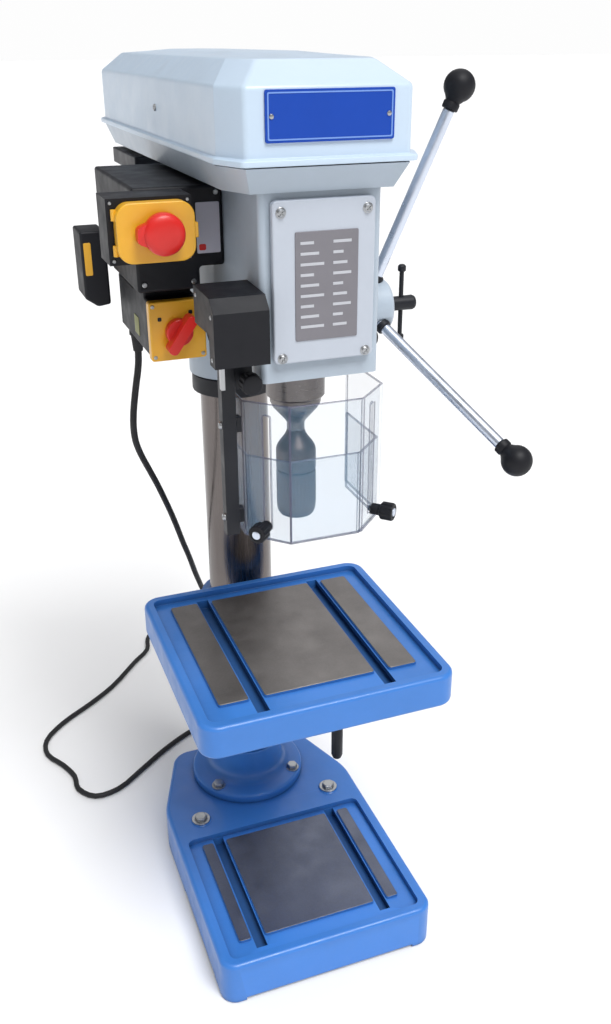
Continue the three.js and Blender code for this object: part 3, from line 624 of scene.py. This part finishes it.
def slot_cutters(pad_half, front, back, top):
    made = []
    for side in (-1, 1):
        a, b = sorted((side * (pad_half + SLOT_NEAR), side * (pad_half + SLOT_FAR)))
        made.append(box_solid("cut", a, b, front, back, top - SLOT_DEPTH, top))
        made.append(box_solid("cut", a - SLOT_UNDERCUT, b + SLOT_UNDERCUT, front, back, top - SLOT_DEPTH,
                              top - SLOT_NECK))
    return made


def machined_pads(prefix, look, body, half, outer, front, back, bottom, top):
    spans = [("centre", -half, half), ("left", -outer, -half - 18), ("right", half + 18, outer)]
    for label, x0, x1 in spans:
        outline = rounded_outline(rectangle(x0, x1, front, back), [3] * 4)
        land = prism(f"{prefix}_land_{label}", outline, bottom, top - 0.9)
        soften(land, 0)
        dress(land, "blue", body)
        inner = rounded_outline(rectangle(x0 + 0.4, x1 - 0.4, front + 0.4, back - 0.4), [3] * 4)
        pad = prism(f"{prefix}_pad_{label}", inner, top - 0.95, top)
        soften(pad, 0.35, 2)
        dress(pad, look, body)


def paint_slot_shade(obj, pad_half, floor):
    """The slots' walls and floors take a darker blue: painted shade inside the slots."""
    obj.data.materials.append(LOOK["slot_shade_blue"])
    for polygon in obj.data.polygons:
        x = abs(polygon.center.x - AXIS.x) / MM
        if pad_half - 5 < x < pad_half + 23 and floor - 21 < polygon.center.z / MM < floor - 0.2:
            if abs(polygon.normal.y) < 0.5 or polygon.center.z / MM < floor - 6:
                polygon.material_index = 1


def base():
    body = slab("base_shape", BASE_PLAN, BASE_CORNERS, edge_levels(0, BASE_TOP, 3, 6))
    recess = rounded_outline(rectangle(-126, 126, -334, -122), [9] * 4)
    front_hollow = rounded_outline(rectangle(-128, 128, -334, -110), [10] * 4)
    rear_plan = [(-125, -92), (125, -92), (120, -46), (84, 58), (-84, 58), (-120, -46)]
    cutters = [
        prism("cut", recess, BASE_TOP - RIM_DEPTH, 70),
        prism("cut", front_hollow, -5, 32),
        prism("cut", rounded_outline(rear_plan, [10] * 6), -5, 45),
        prism("cut", rounded_outline(rectangle(-112, 112, -380, -320), [4] * 4), -5, 6),
        box_solid("cut", -160, 160, -300, -150, -5, 6),
        *slot_cutters(BASE_PAD_HALF, -321, -123, BASE_TOP),
        cylinder("cut", 6.5, -5, 70, -ANCHOR_X, ANCHOR_Y),
        cylinder("cut", 6.5, -5, 70, ANCHOR_X, ANCHOR_Y),
    ]
    carve(body, cutters)
    tidy_mesh(body, 0.3)
    soften(body, 1.6, 3)
    dress(body, "blue", "frame", ("base_casting",))
    paint_slot_shade(body, BASE_PAD_HALF, BASE_TOP - RIM_DEPTH)
    # The base's pads take the copy of the milled iron that is darkened as painted shade.
    machined_pads("base", "iron_in_shade", "frame", BASE_PAD_HALF, 108, -307, -132, 50, 57.4)
    for side, label in ((-1, "left"), (1, "right")):
        profile = [(6.6, 61.5), (15, 61.5), (13, 63.5), (6.6, 63.5)]
        boss = lathe(f"base_boss_{label}", profile, (side * ANCHOR_X, ANCHOR_Y, 0), closed=True)
        soften(boss, 0.8)
        dress(boss, "blue", "frame")
        hex_bolt(f"anchor_bolt_{label}", (side * ANCHOR_X, ANCHOR_Y, 63.5), 9, 5, 13, "frame")


def hex_bolt(name, place, radius, height, washer, body, axis=(0, 0, 1)):
    disc = lathe(name + "_washer", [(0, 0), (washer, 0), (washer, 1.8), (0, 1.8)], place, axis, 32)
    soften(disc, 0.4)
    dress(disc, "bolt", body)
    profile = [
        (0, 1.8), (radius, 1.8), (radius, height + 0.8), (radius - 1.2, height + 1.8), (0, height + 1.8),
    ]
    head = lathe(name, profile, place, axis, 6)
    soften(head, 0.5, 2, 25)
    dress(head, "bolt", body)


def flange():
    profile = [
        (42.8, 62.3), (82, 62.3), (82, 71), (81, 73.5), (78.5, 75.5), (66, 77), (59, 79.5), (55, 84),
        (53, 90), (52, 98), (52, 125), (51, 127.4), (49, 128), (42.8, 128),
    ]
    made = lathe("flange_shape", profile, (0, 0, 0), segments=96, closed=True)
    soften(made, 0.6)
    dress(made, "blue", "frame", ("column_flange",))
    for i, degrees in enumerate((216.5, 323.5, 90)):
        turn = math.radians(degrees)
        spot = (71 * math.cos(turn), 71 * math.sin(turn), 75.6)
        hex_bolt(f"flange_bolt_{i + 1}", spot, 8, 5.5, 10, "frame")


def column():
    profile = [(37.5, 62.3), (42.5, 62.3), (42.5, 905), (37.5, 905)]
    made = lathe("column_shape", profile, (0, 0, 0), segments=96, closed=True)
    soften(made, 0.5)
    dress(made, "column", "frame", ("column",))


def table():
    levels = edge_levels(377, TABLE_TOP, 5, 5.5)
    body = slab("table_shape", rectangle(-150, 150, -350, -56), [22] * 4, levels)
    inside = rounded_outline(rectangle(-138, 138, -338, -68), [10] * 4)
    cutters = [
        prism("cut", inside, TABLE_TOP - RIM_DEPTH, TABLE_TOP + 12),
        prism("cut", inside, 370, 388),
        *slot_cutters(TABLE_PAD_HALF, -337, -76, TABLE_TOP),
    ]
    carve(body, cutters)
    tidy_mesh(body, 0.3)
    soften(body, 1.8, 3)
    dress(body, "blue", "table", ("work_table",))
    paint_slot_shade(body, TABLE_PAD_HALF, TABLE_TOP - RIM_DEPTH)
    machined_pads("table", "iron", "table", TABLE_PAD_HALF, 119, -305, -85, 406, 413.4)


base()
flange()
column()
table()
refine("table_rest_ring", "steel", 0.8)
refine("table_bracket", "blue", 2.0, 3)


def hanging_lever(name, node, pivot, hub, drop, grip):
    """A clamp lever: hub across the pivot, thin shank and a tapered black grip, as one set of pieces."""
    x0, x1 = hub
    y, z = pivot
    middle = x1 - 6
    boss = lathe(name + "_hub", [(0, x0), (9, x0), (9, x1), (0, x1)], (0, y, z), (1, 0, 0), 32)
    soften(boss, 1.0)
    body = BODY_OF[node]
    dress(boss, "dark", body, (node,))
    shank = lathe(name + "_shank", [(0, 0), (4.5, 0), (4.5, drop - grip), (0, drop - grip)], (middle, y, z),
                  (0, 0, -1), 24)
    soften(shank, 0)
    dress(shank, "bolt", body)
    profile = [(0, 0), (5.5, 0), (6.4, 3), (7.5, 20), (7.4, grip - 6), (5.5, grip - 1), (0, grip)]
    handle = lathe(name + "_grip", profile, (middle, y, z - drop + grip), (0, 0, -1), 32)
    soften(handle, 0)
    dress(handle, "dark", body)


hanging_lever("table_lever", "table_lock_lever", (-200, 344), (42.3, 70), 132, 62)
refine("column_clamp_lever", "dark", 0.8)


# ---------------------------------------------------------------- head
def screw(name, place, axis, radius, body, height=1.8):
    """A pan-head screw with a crossed recess."""
    profile = [(0, 0), (radius, 0), (radius, height * 0.4), (radius * 0.75, height), (0, height)]
    head = lathe(name, profile, place, axis, 28)
    along, side, third = basis(axis)
    start = at(*place)
    cutters = []
    for u, v in ((side, third), (third, side)):
        corners = []
        for h in (height * 0.35, height + 1):
            for a, b in ((-1, -1), (1, -1), (1, 1), (-1, 1)):
                spot = start + along * h * MM + u * a * radius * 0.6 * MM
                corners.append(spot + v * b * radius * 0.12 * MM)
        cutters.append(new_object("cut", corners, BLOCK_FACES))
    for cutter in cutters:
        tidy_mesh(cutter)
    carve(head, cutters)
    soften(head, 0)
    dress(head, "bolt", body)


def front_plate():
    made = plate_xz("front_plate_shape", -50, 50, 788, 937, -311, -303.3, 5)
    tidy_mesh(made)
    soften(made, 1.6, 3)
    dress(made, "pale", "frame", ("head_front_plate",))
    for i, (x, z) in enumerate(((-42, 793.5), (42, 793.5), (-42, 926.5), (42, 926.5))):
        profile = [(0, 0), (5, 0), (5, 0.5), (4.4, 0.9), (0, 0.9)]
        dish = lathe(f"plate_dish_{i + 1}", profile, (x, -311, z), (0, -1, 0), 32)
        soften(dish, 0)
        dress(dish, "bolt", "frame")
        screw(f"plate_screw_{i + 1}", (x, -311.8, z), (0, -1, 0), 3.9, "frame")
    data = plate_xz("data_plate", -29, 33, 809, 909, -312, -310.8, 1.5)
    tidy_mesh(data)
    soften(data, 0.3)
    dress(data, "data", "frame")
    bars = []
    for row in range(9):
        z = 899 - row * 9.6
        for column_x, long in ((-24, 13 + 5 * (row % 3)), (8, 18 - 4 * (row * 2 % 3))):
            bars.append(box_solid("bar", column_x, column_x + long, -312.25, -311.9, z - 1.3, z + 1.3))
    rows = carve(bars[0], bars[1:], "UNION")
    rows.name = "data_rows"
    dress(rows, "print", "frame")


refine("head_casting", "grey", 2.4, 3)
front_plate()
refine("head_support_collar", "dark", 1.2)
refine("belt_pan", "grey", 1.4, 3)


def octagon_ring(half, front, back, z):
    side, end = 15, 38
    plan = [
        (-half + side, front), (half - side, front), (half, front + end), (half, back - end),
        (half - side, back), (-half + side, back), (-half, back - end), (-half, front + end),
    ]
    return [at(x, y, z) for x, y in rounded_outline(plan, [6] * 8, 4)]


def softened(levels, sizes):
    """Each inner level of a section is turned into a short curve of that size."""
    result = [levels[0]]
    steps = 4
    for i in range(1, len(levels) - 1):
        size = sizes[i]
        a, b, c = (Vector(levels[k]) for k in (i - 1, i, i + 1))
        before = b + (a - b) * min(0.45, size / max((a - b).length, 1e-6))
        after = b + (c - b) * min(0.45, size / max((c - b).length, 1e-6))
        for k in range(steps + 1):
            t = k / steps
            result.append(tuple(before * (1 - t) ** 2 + b * 2 * t * (1 - t) + after * t ** 2))
    result.append(levels[-1])
    return result


def cover():
    levels = [
        (66, -284, 242, 1047.8), (88.6, -319.6, 273.6, 1028.8), (88.8, -320, 274, 974),
        (88.8, -320, 274, 967.3), (96.6, -328.8, 282.8, 967.3), (96.8, -329, 283, 972.4),
        (92, -323, 277, 973.4), (92, -323, 277, 1030), (70, -289, 247, 1050.4), (50, -238, 198, 1052.6),
        (34, -190, 150, 1055),
    ]
    sizes = [0, 6, 2, 1, 1.2, 1.2, 1.5, 4, 5, 30, 0]
    rings = [octagon_ring(*level) for level in softened(levels, sizes)]
    made = rings_solid("cover_shape", rings)
    tidy_mesh(made, 0.05)
    soften(made, 0)
    dress(made, "cover", "belt_cover", ("belt_lid",))
    plate = plate_xz("name_plate_shape", -59.5, 59.5, 986, 1028, -325.2, -323.3, 2)
    tidy_mesh(plate)
    soften(plate, 0.4)
    dress(plate, "badge", "belt_cover", ("name_plate",))
    border = plate_xz("name_plate_border", -57.5, 57.5, 988, 1026, -325.5, -325.1, 1.5)
    inner = plate_xz("cut", -56.3, 56.3, 989.2, 1024.8, -327, -324, 1.2)
    for part in (border, inner):
        tidy_mesh(part)
    carve(border, [inner])
    soften(border, 0)
    dress(border, "badge_edge", "belt_cover")
    for side, label in ((-1, "left"), (1, "right")):
        rivet = lathe(f"name_rivet_{label}", [(0, 0), (2.2, 0), (2.0, 0.7), (1.1, 1.1), (0, 1.2)],
                      (side * 54, -325.2, 1007), (0, -1, 0), 24)
        soften(rivet, 0)
        dress(rivet, "bolt", "belt_cover")
        screw(f"cover_latch_{label}", (side * 92, -60, 1001), (side, 0, 0), 3.6, "belt_cover", 2.0)


cover()
refine("motor_plate", "dark", 1.5)


def motor():
    profile = [
        (0, 770), (30, 770), (46, 771), (56, 776), (62, 783), (65, 792), (65.9, 800), (65.9, 806), (63, 808),
        (65.9, 809), (65.9, 900), (63, 902), (60, 905), (60, 917.4), (9.4, 917.4), (9.4, 897), (0, 897),
    ]
    body = lathe("motor_shape", profile, (0, 165, 0), segments=96, flutes=(2.6, 24, 809, 900))
    soften(body, 0.5, 2, 40)
    dress(body, "dark", "frame", ("motor_body",))
    terminal = box_solid("motor_terminal_box", -22, 22, 214, 240, 826, 880)
    soften(terminal, 3, 3)
    dress(terminal, "black", "frame")
    for i, (x, z) in enumerate(((-17, 831), (17, 831), (-17, 875), (17, 875))):
        screw(f"terminal_screw_{i + 1}", (x, 240, z), (0, 1, 0), 2.4, "frame", 1.2)
    for i, x in enumerate((-70, 70)):
        for k, y in enumerate((112, 222)):
            hex_bolt(f"motor_bolt_{i + 1}_{k + 1}", (x, y, 918), 6.5, 5, 9, "frame", (0, 0, -1))


motor()
for pulley_node in ("spindle_pulley", "idler_pulley", "motor_pulley"):
    refine(pulley_node, "alloy", 0.7)
for belt_node in ("front_belt", "rear_belt"):
    refine(belt_node, "rubber", 0.5)


# ---------------------------------------------------------------- quill and chuck
SPINDLE_Y = -229


def chuck():
    refine("quill", "steel", 0.25, 1)
    spindle = lathe("spindle_shape", [
        (0, 690.3), (9.5, 690.3), (9.5, 698), (11, 701), (17, 708), (24, 716), (27, 722), (27, 727.7),
        (10, 727.7), (10, 1018), (9, 1020), (0, 1020),
    ], (0, SPINDLE_Y, 0), segments=64)
    soften(spindle, 0.5)
    dress(spindle, "steel", "spindle_body", ("spindle",))
    body = lathe("chuck_body_shape", [
        (0, 628), (6, 628), (6, 596), (16, 596), (16, 645), (20.2, 645), (21.5, 647), (21.5, 667),
        (20.6, 671), (18, 675.5), (13, 682), (10.5, 686.5), (9.5, 690), (0, 690),
    ], (0, SPINDLE_Y, 0), segments=64)
    soften(body, 0.4)
    dress(body, "gunmetal", "spindle_body", ("chuck_body",))
    sleeve = lathe("chuck_sleeve_shape", [
        (16.3, 593), (18, 593), (19.6, 595), (20.9, 599), (21.5, 605), (21.5, 607), (21.5, 609), (21.5, 637),
        (21.5, 639), (21.5, 642.5), (20.6, 644.5), (16.3, 644.7),
    ], (0, SPINDLE_Y, 0), segments=144, closed=True, flutes=(0.55, 36, 608.5, 637.5))
    soften(sleeve, 0)
    dress(sleeve, "gunmetal", "sleeve", ("chuck_sleeve",))
    for i in range(3):
        refine(f"chuck_jaw_{i + 1}", "steel", 0.6)


chuck()


# ---------------------------------------------------------------- feed wheel
FEED = (0, -191, 804)
LEVER_X, LEVER_START = 101, 20
KNOB_X, KNOB_OUT, KNOB_BACK = 185, 219, 24
KNOB_R = 16
DIAL_MARKS, DIAL_FACE_X = 40, 78


def feed():
    refine("feed_pinion", "steel", 0.3, 1)
    refine("lever_hub", "grey", 1.2, 3)
    refine("depth_dial", "alloy", 0.8)
    refine("stop_screw", "dark", 0.8)
    refine("tommy_bar", "dark", 0.5)
    refine("return_spring_cap", "dark", 2.0, 3)
    reach = math.hypot(KNOB_X - LEVER_X, KNOB_OUT - LEVER_START)
    lean = math.atan2(KNOB_X - LEVER_X, KNOB_OUT - LEVER_START)
    for i, degrees in enumerate((94.5, 214.5, 334.5)):
        turn = math.radians(degrees)
        origin = (
            LEVER_X, FEED[1] + LEVER_START * math.cos(turn), FEED[2] + LEVER_START * math.sin(turn),
        )
        axis = (math.sin(lean), math.cos(lean) * math.cos(turn), math.cos(lean) * math.sin(turn))
        end = reach - KNOB_BACK - 0.3
        profile = [(0, 0), (6, 0), (6, end - 1), (5.2, end), (0, end)]
        rod = lathe(f"lever_rod_{i + 1}", profile, origin, axis, 40)
        soften(rod, 0.3)
        dress(rod, "chrome", "feed_wheel", (f"feed_lever_{i + 1}",))
        profile = [(6.1, 8), (8.2, 8), (8.2, 13), (7.2, 14.5), (6.1, 14.5)]
        collar = lathe(f"lever_collar_{i + 1}", profile, origin, axis, 32, closed=True)
        soften(collar, 0.4)
        dress(collar, "dark", "feed_wheel")
        profile = [(0, 0), (7.6, 0), (8.5, 0.9), (8.6, 6.5), (7.6, 8)]
        for k in range(1, 14):
            slope = math.radians(-62 + k * 11.2)
            profile.append((KNOB_R * math.cos(slope), KNOB_BACK + KNOB_R * math.sin(slope)))
        profile.append((0, 40))
        profile = [(r, h + reach - KNOB_BACK) for r, h in profile]
        knob = lathe(f"lever_knob_{i + 1}", profile, origin, axis, 48)
        soften(knob, 0)
        dress(knob, "black", "feed_wheel", (f"feed_knob_{i + 1}",))
    vertices, faces = [], []
    for i in range(DIAL_MARKS):
        turn = 2 * math.pi * i / DIAL_MARKS
        long = 6 if i % 5 == 0 else 3.5
        out = Vector((0, math.cos(turn), math.sin(turn)))
        side = Vector((0, -math.sin(turn), math.cos(turn)))
        start = at(*FEED)
        first = len(vertices)
        for r in (28.0, 29.15):
            ends = (DIAL_FACE_X, DIAL_FACE_X + long)
            for x, s in ((ends[0], -0.35), (ends[1], -0.35), (ends[1], 0.35), (ends[0], 0.35)):
                vertices.append(start + Vector((x, 0, 0)) * MM + (out * r + side * s) * MM)
        for face in BLOCK_FACES:
            faces.append(tuple(first + index for index in face))
    ticks = new_object("dial_marks", vertices, faces)
    dress(ticks, "dark", "dial")


feed()


# ---------------------------------------------------------------- switches
SWITCH_FRONT, ESTOP_FRONT = -190, -235
STOP_X, STOP_Z = -140, 906
ROTARY_X, ROTARY_Z = -112, 797
FLAP_KNUCKLE = (-177, -238.6)


def label(name, x0, x1, z0, z1, y, look, thick=0.6):
    made = plate_xz(name, x0, x1, z0, z1, y - thick, y + 0.2, 1.5)
    tidy_mesh(made)
    soften(made, 0.2)
    dress(made, look, "frame")


def mushroom(name, x, z, front, body):
    """The stop button: a broad cap set to the right of its stem, with a finger tongue on the left."""
    stem = cylinder("cut", 7.6, 0, 15, segments=48)
    stem.data.transform(Matrix.Translation(at(x, front - 5, z)) @ Matrix.Rotation(math.pi / 2, 4, "X")
                        @ Matrix.Translation(-at(0, 0, 0)))
    cap_x = x + 4
    profile = [
        (0, 18.8), (16, 18.8), (18.4, 20.2), (19.4, 22.2), (19.4, 27), (18.6, 30), (16.4, 32.2),
        (12, 33.6), (6, 34.3), (0, 34.5),
    ]
    made = lathe(name, profile, (cap_x, front, z), (0, -1, 0), 64)
    outline = rounded_outline([(x - 21, z - 7), (x, z - 15), (x, z + 15), (x - 21, z + 7)], [5, 3, 3, 5])
    tongue = rings_solid("cut", [[at(px, y, pz) for px, pz in outline] for y in (front - 19, front - 29)])
    tidy_mesh(tongue)
    carve(made, [stem, tongue], "UNION")
    tidy_mesh(made, 0.2)
    soften(made, 1.2, 3, 40)
    dress(made, "red", body, ("estop_button",))


def switches():
    refine("control_box", "black", 3.0, 3)
    refine("junction_box", "black", 2.5, 3)
    refine("estop_housing", "black", 4.0, 4)
    refine("estop_flap", "yellow", 1.6, 3)
    refine("rotary_switch_box", "black", 2.5, 3)
    refine("rotary_switch_plate", "yellow", 1.2, 3)
    refine("rotary_knob", "red", 1.2, 3)
    refine("start_button", "green", 0.6)
    mushroom("stop_mushroom", STOP_X, STOP_Z, ESTOP_FRONT, "stop_button")
    label("box_label", -88, -64, 873, 922, SWITCH_FRONT, "paper")
    label("box_label_spot", -86, -79, 876, 882, -190.6, "red", thick=0.3)
    label("junction_label", -176, -168, 826, 862, -30, "yellow")
    side = box_solid("switch_side_label", -139.5, -138.9, -126, -104, 778, 798)
    soften(side, 0.2)
    dress(side, "olive", "frame")
    for i, degrees in enumerate((54, 144)):
        turn = math.radians(degrees)
        x, z = ROTARY_X + 23 * math.cos(turn), ROTARY_Z + 23 * math.sin(turn)
        mark = plate_xz(f"rotary_mark_{i + 1}", x - 2, x + 2, z - 2, z + 2, -190.5, -189.8, 1.2)
        tidy_mesh(mark)
        soften(mark, 0)
        dress(mark, "dark", "frame")
    for i, (x, z) in enumerate(((-137, 771.5), (-87, 771.5), (-137, 823.5), (-87, 823.5))):
        screw(f"switch_screw_{i + 1}", (x, SWITCH_FRONT, z), (0, -1, 0), 2.0, "frame", 1.0)
    for i, (x, z) in enumerate(((-179, 880), (-107, 880), (-179, 932), (-107, 932))):
        screw(f"housing_screw_{i + 1}", (x, ESTOP_FRONT, z), (0, -1, 0), 1.7, "frame", 1.0)
    for i, (x, z) in enumerate(((-143, 931), (-67, 931), (-143, 846), (-93, 846))):
        screw(f"box_screw_{i + 1}", (x, SWITCH_FRONT, z), (0, -1, 0), 2.6, "frame", 1.2)
    tab = box_solid("flap_tab", -106, -100.5, -248, -241, 899, 913)
    soften(tab, 1.0, 3)
    dress(tab, "yellow", "flap")
    for i, z in enumerate((886, 918)):
        profile = [(0, 0), (2.6, 0), (2.6, 10), (0, 10)]
        knuckle = lathe(f"flap_hinge_{i + 1}", profile, (*FLAP_KNUCKLE, z - 1), segments=20)
        soften(knuckle, 0.3)
        dress(knuckle, "yellow", "frame")


switches()


# ---------------------------------------------------------------- chuck guard
EDGE_AREA = 3.6e-4


def guard_sheet(node):
    """A clear shield: its small faces are the sheet's cut edges."""
    made = bpy.data.objects.new(node + "_shape", NODES[node].data.copy())
    bpy.context.scene.collection.objects.link(made)
    tidy_mesh(made)
    soften(made, 1.1, 2, 30, 1)
    dress(made, "clear", BODY_OF[node], (node,))
    made.data.materials.append(LOOK["clear_edge"])
    for polygon in made.data.polygons:
        if abs(polygon.normal.z) > 0.5 or polygon.area < EDGE_AREA:
            polygon.material_index = 1


def guard():
    refine("guard_switch_box", "black", 3.0, 3)
    refine("guard_post", "dark", 1.2, 2)
    guard_sheet("upper_shield")
    guard_sheet("lower_shield")
    for side, label_name in ((-1, "left"), (1, "right")):
        node = f"guard_knob_{label_name}"
        axis = (side * math.sqrt(0.5), -math.sqrt(0.5), 0)
        origin = (side * 56.5, -300.25, 618)
        profile = [
            (0, -1.6), (2.9, -1.6), (2.9, 2.2), (6, 2.2), (6, 11), (7.5, 12.6), (9.6, 14), (9.6, 25),
            (8.8, 26.6), (6.2, 27), (6.2, 26.2), (0, 26.2),
        ]
        knob = lathe(node + "_shape", profile, origin, axis, 72, flutes=(0.9, 12, 13.5, 25.5))
        soften(knob, 0.3)
        dress(knob, "black", BODY_OF[node], (node,))
        profile = [(0, 26.2), (4.6, 26.2), (4.4, 27.2), (3, 27.8), (0, 28)]
        cap = lathe(f"knob_insert_{label_name}", profile, origin, axis, 32)
        soften(cap, 0)
        dress(cap, "chrome", BODY_OF[node])
    post = lathe("post_knob_shape", [
        (0, 285.3), (4, 285.3), (4, 297), (7.4, 298.6), (10, 301), (10.5, 303), (10.5, 312), (9.8, 314),
        (8, 315), (0, 315),
    ], (-73, 0, 772), (0, -1, 0), 72, flutes=(0.9, 12, 302, 312.5))
    soften(post, 0.3)
    dress(post, "black", "guard_clamp", ("guard_post_knob",))
    bracket = box_solid("post_bracket", -81.8, -64.2, -287.6, -285.1, 784.4, 795)
    soften(bracket, 0.4)
    dress(bracket, "bolt", "guard")
    for i, z in enumerate((625, 724)):
        screw(f"post_screw_{i + 1}", (-96, -280, z), (-1, 0, 0), 3.8, "guard", 2.4)
    for i, (y, z) in enumerate(((-322, 803), (-322, 842), (-272, 852))):
        screw(f"interlock_screw_{i + 1}", (-113, y, z), (-1, 0, 0), 2.2, "frame", 1.0)
    strap = box_solid("interlock_strap", -103.2, -99.2, -312.8, -306.4, 770, 823.6)
    soften(strap, 0.6)
    dress(strap, "bolt", "frame")


guard()


# ---------------------------------------------------------------- floor and light
FLOOR_HALF = 60
SKY = ((0.0, 0.9), (0.04, 0.9), (0.14, 0.24), (0.62, 0.26), (0.8, 0.65))
BACKDROP = (0.985, 0.985, 0.985, 1)
SUNS = (("key", 12, 58, 28, 2.8), ("rim", 150, 38, 40, 0.25))


def studio():
    """A pale floor, a sky that lights by height, a plain backdrop and two soft suns."""
    size = FLOOR_HALF
    corners = [(-size, -size, 0), (size, -size, 0), (size, size, 0), (-size, size, 0)]
    floor = new_object("floor", [Vector(c) + Vector((0, 0, -0.0002)) for c in corners], [(0, 1, 2, 3)])
    look = Look("floor_pale", 0.7)
    tint = linear(248, 248, 248)
    look.colour(look.ramp(look.noise(3.0), [(0.3, scaled(tint, 0.985)), (0.7, tint)]))
    floor.data.materials.append(look.mat)
    world = bpy.data.worlds.new("studio")
    world.use_nodes = True
    tree = world.node_tree
    background = tree.nodes["Background"]
    place = tree.nodes.new("ShaderNodeTexCoord")
    parts = tree.nodes.new("ShaderNodeSeparateXYZ")
    fade = tree.nodes.new("ShaderNodeValToRGB")
    tree.links.new(place.outputs["Generated"], parts.inputs["Vector"])
    tree.links.new(parts.outputs["Z"], fade.inputs["Fac"])
    tree.links.new(fade.outputs["Color"], background.inputs["Color"])
    while len(fade.color_ramp.elements) < len(SKY):
        fade.color_ramp.elements.new(0.5)
    for element, (height, level) in zip(fade.color_ramp.elements, SKY):
        element.position = height
        element.color = (level, level, level * 1.02, 1)
    backdrop = tree.nodes.new("ShaderNodeBackground")
    backdrop.inputs["Color"].default_value = BACKDROP
    path = tree.nodes.new("ShaderNodeLightPath")
    choose = tree.nodes.new("ShaderNodeMixShader")
    tree.links.new(path.outputs["Is Camera Ray"], choose.inputs[0])
    tree.links.new(background.outputs["Background"], choose.inputs[1])
    tree.links.new(backdrop.outputs["Background"], choose.inputs[2])
    tree.links.new(choose.outputs["Shader"], tree.nodes["World Output"].inputs["Surface"])
    bpy.context.scene.world = world
    for name, azimuth, height, spread_angle, energy in SUNS:
        data = bpy.data.lights.new(name, "SUN")
        data.energy = energy
        data.angle = math.radians(spread_angle)
        lamp = bpy.data.objects.new(name, data)
        turn, rise = math.radians(azimuth), math.radians(height)
        level = math.cos(rise)
        toward = Vector((math.sin(turn) * level, -math.cos(turn) * level, math.sin(rise)))
        lamp.rotation_mode = "QUATERNION"
        lamp.rotation_quaternion = (-toward).to_track_quat("-Z", "Y")
        lamp.location = toward * 3
        bpy.context.scene.collection.objects.link(lamp)
    bpy.context.scene.view_settings.view_transform = "Standard"


studio()
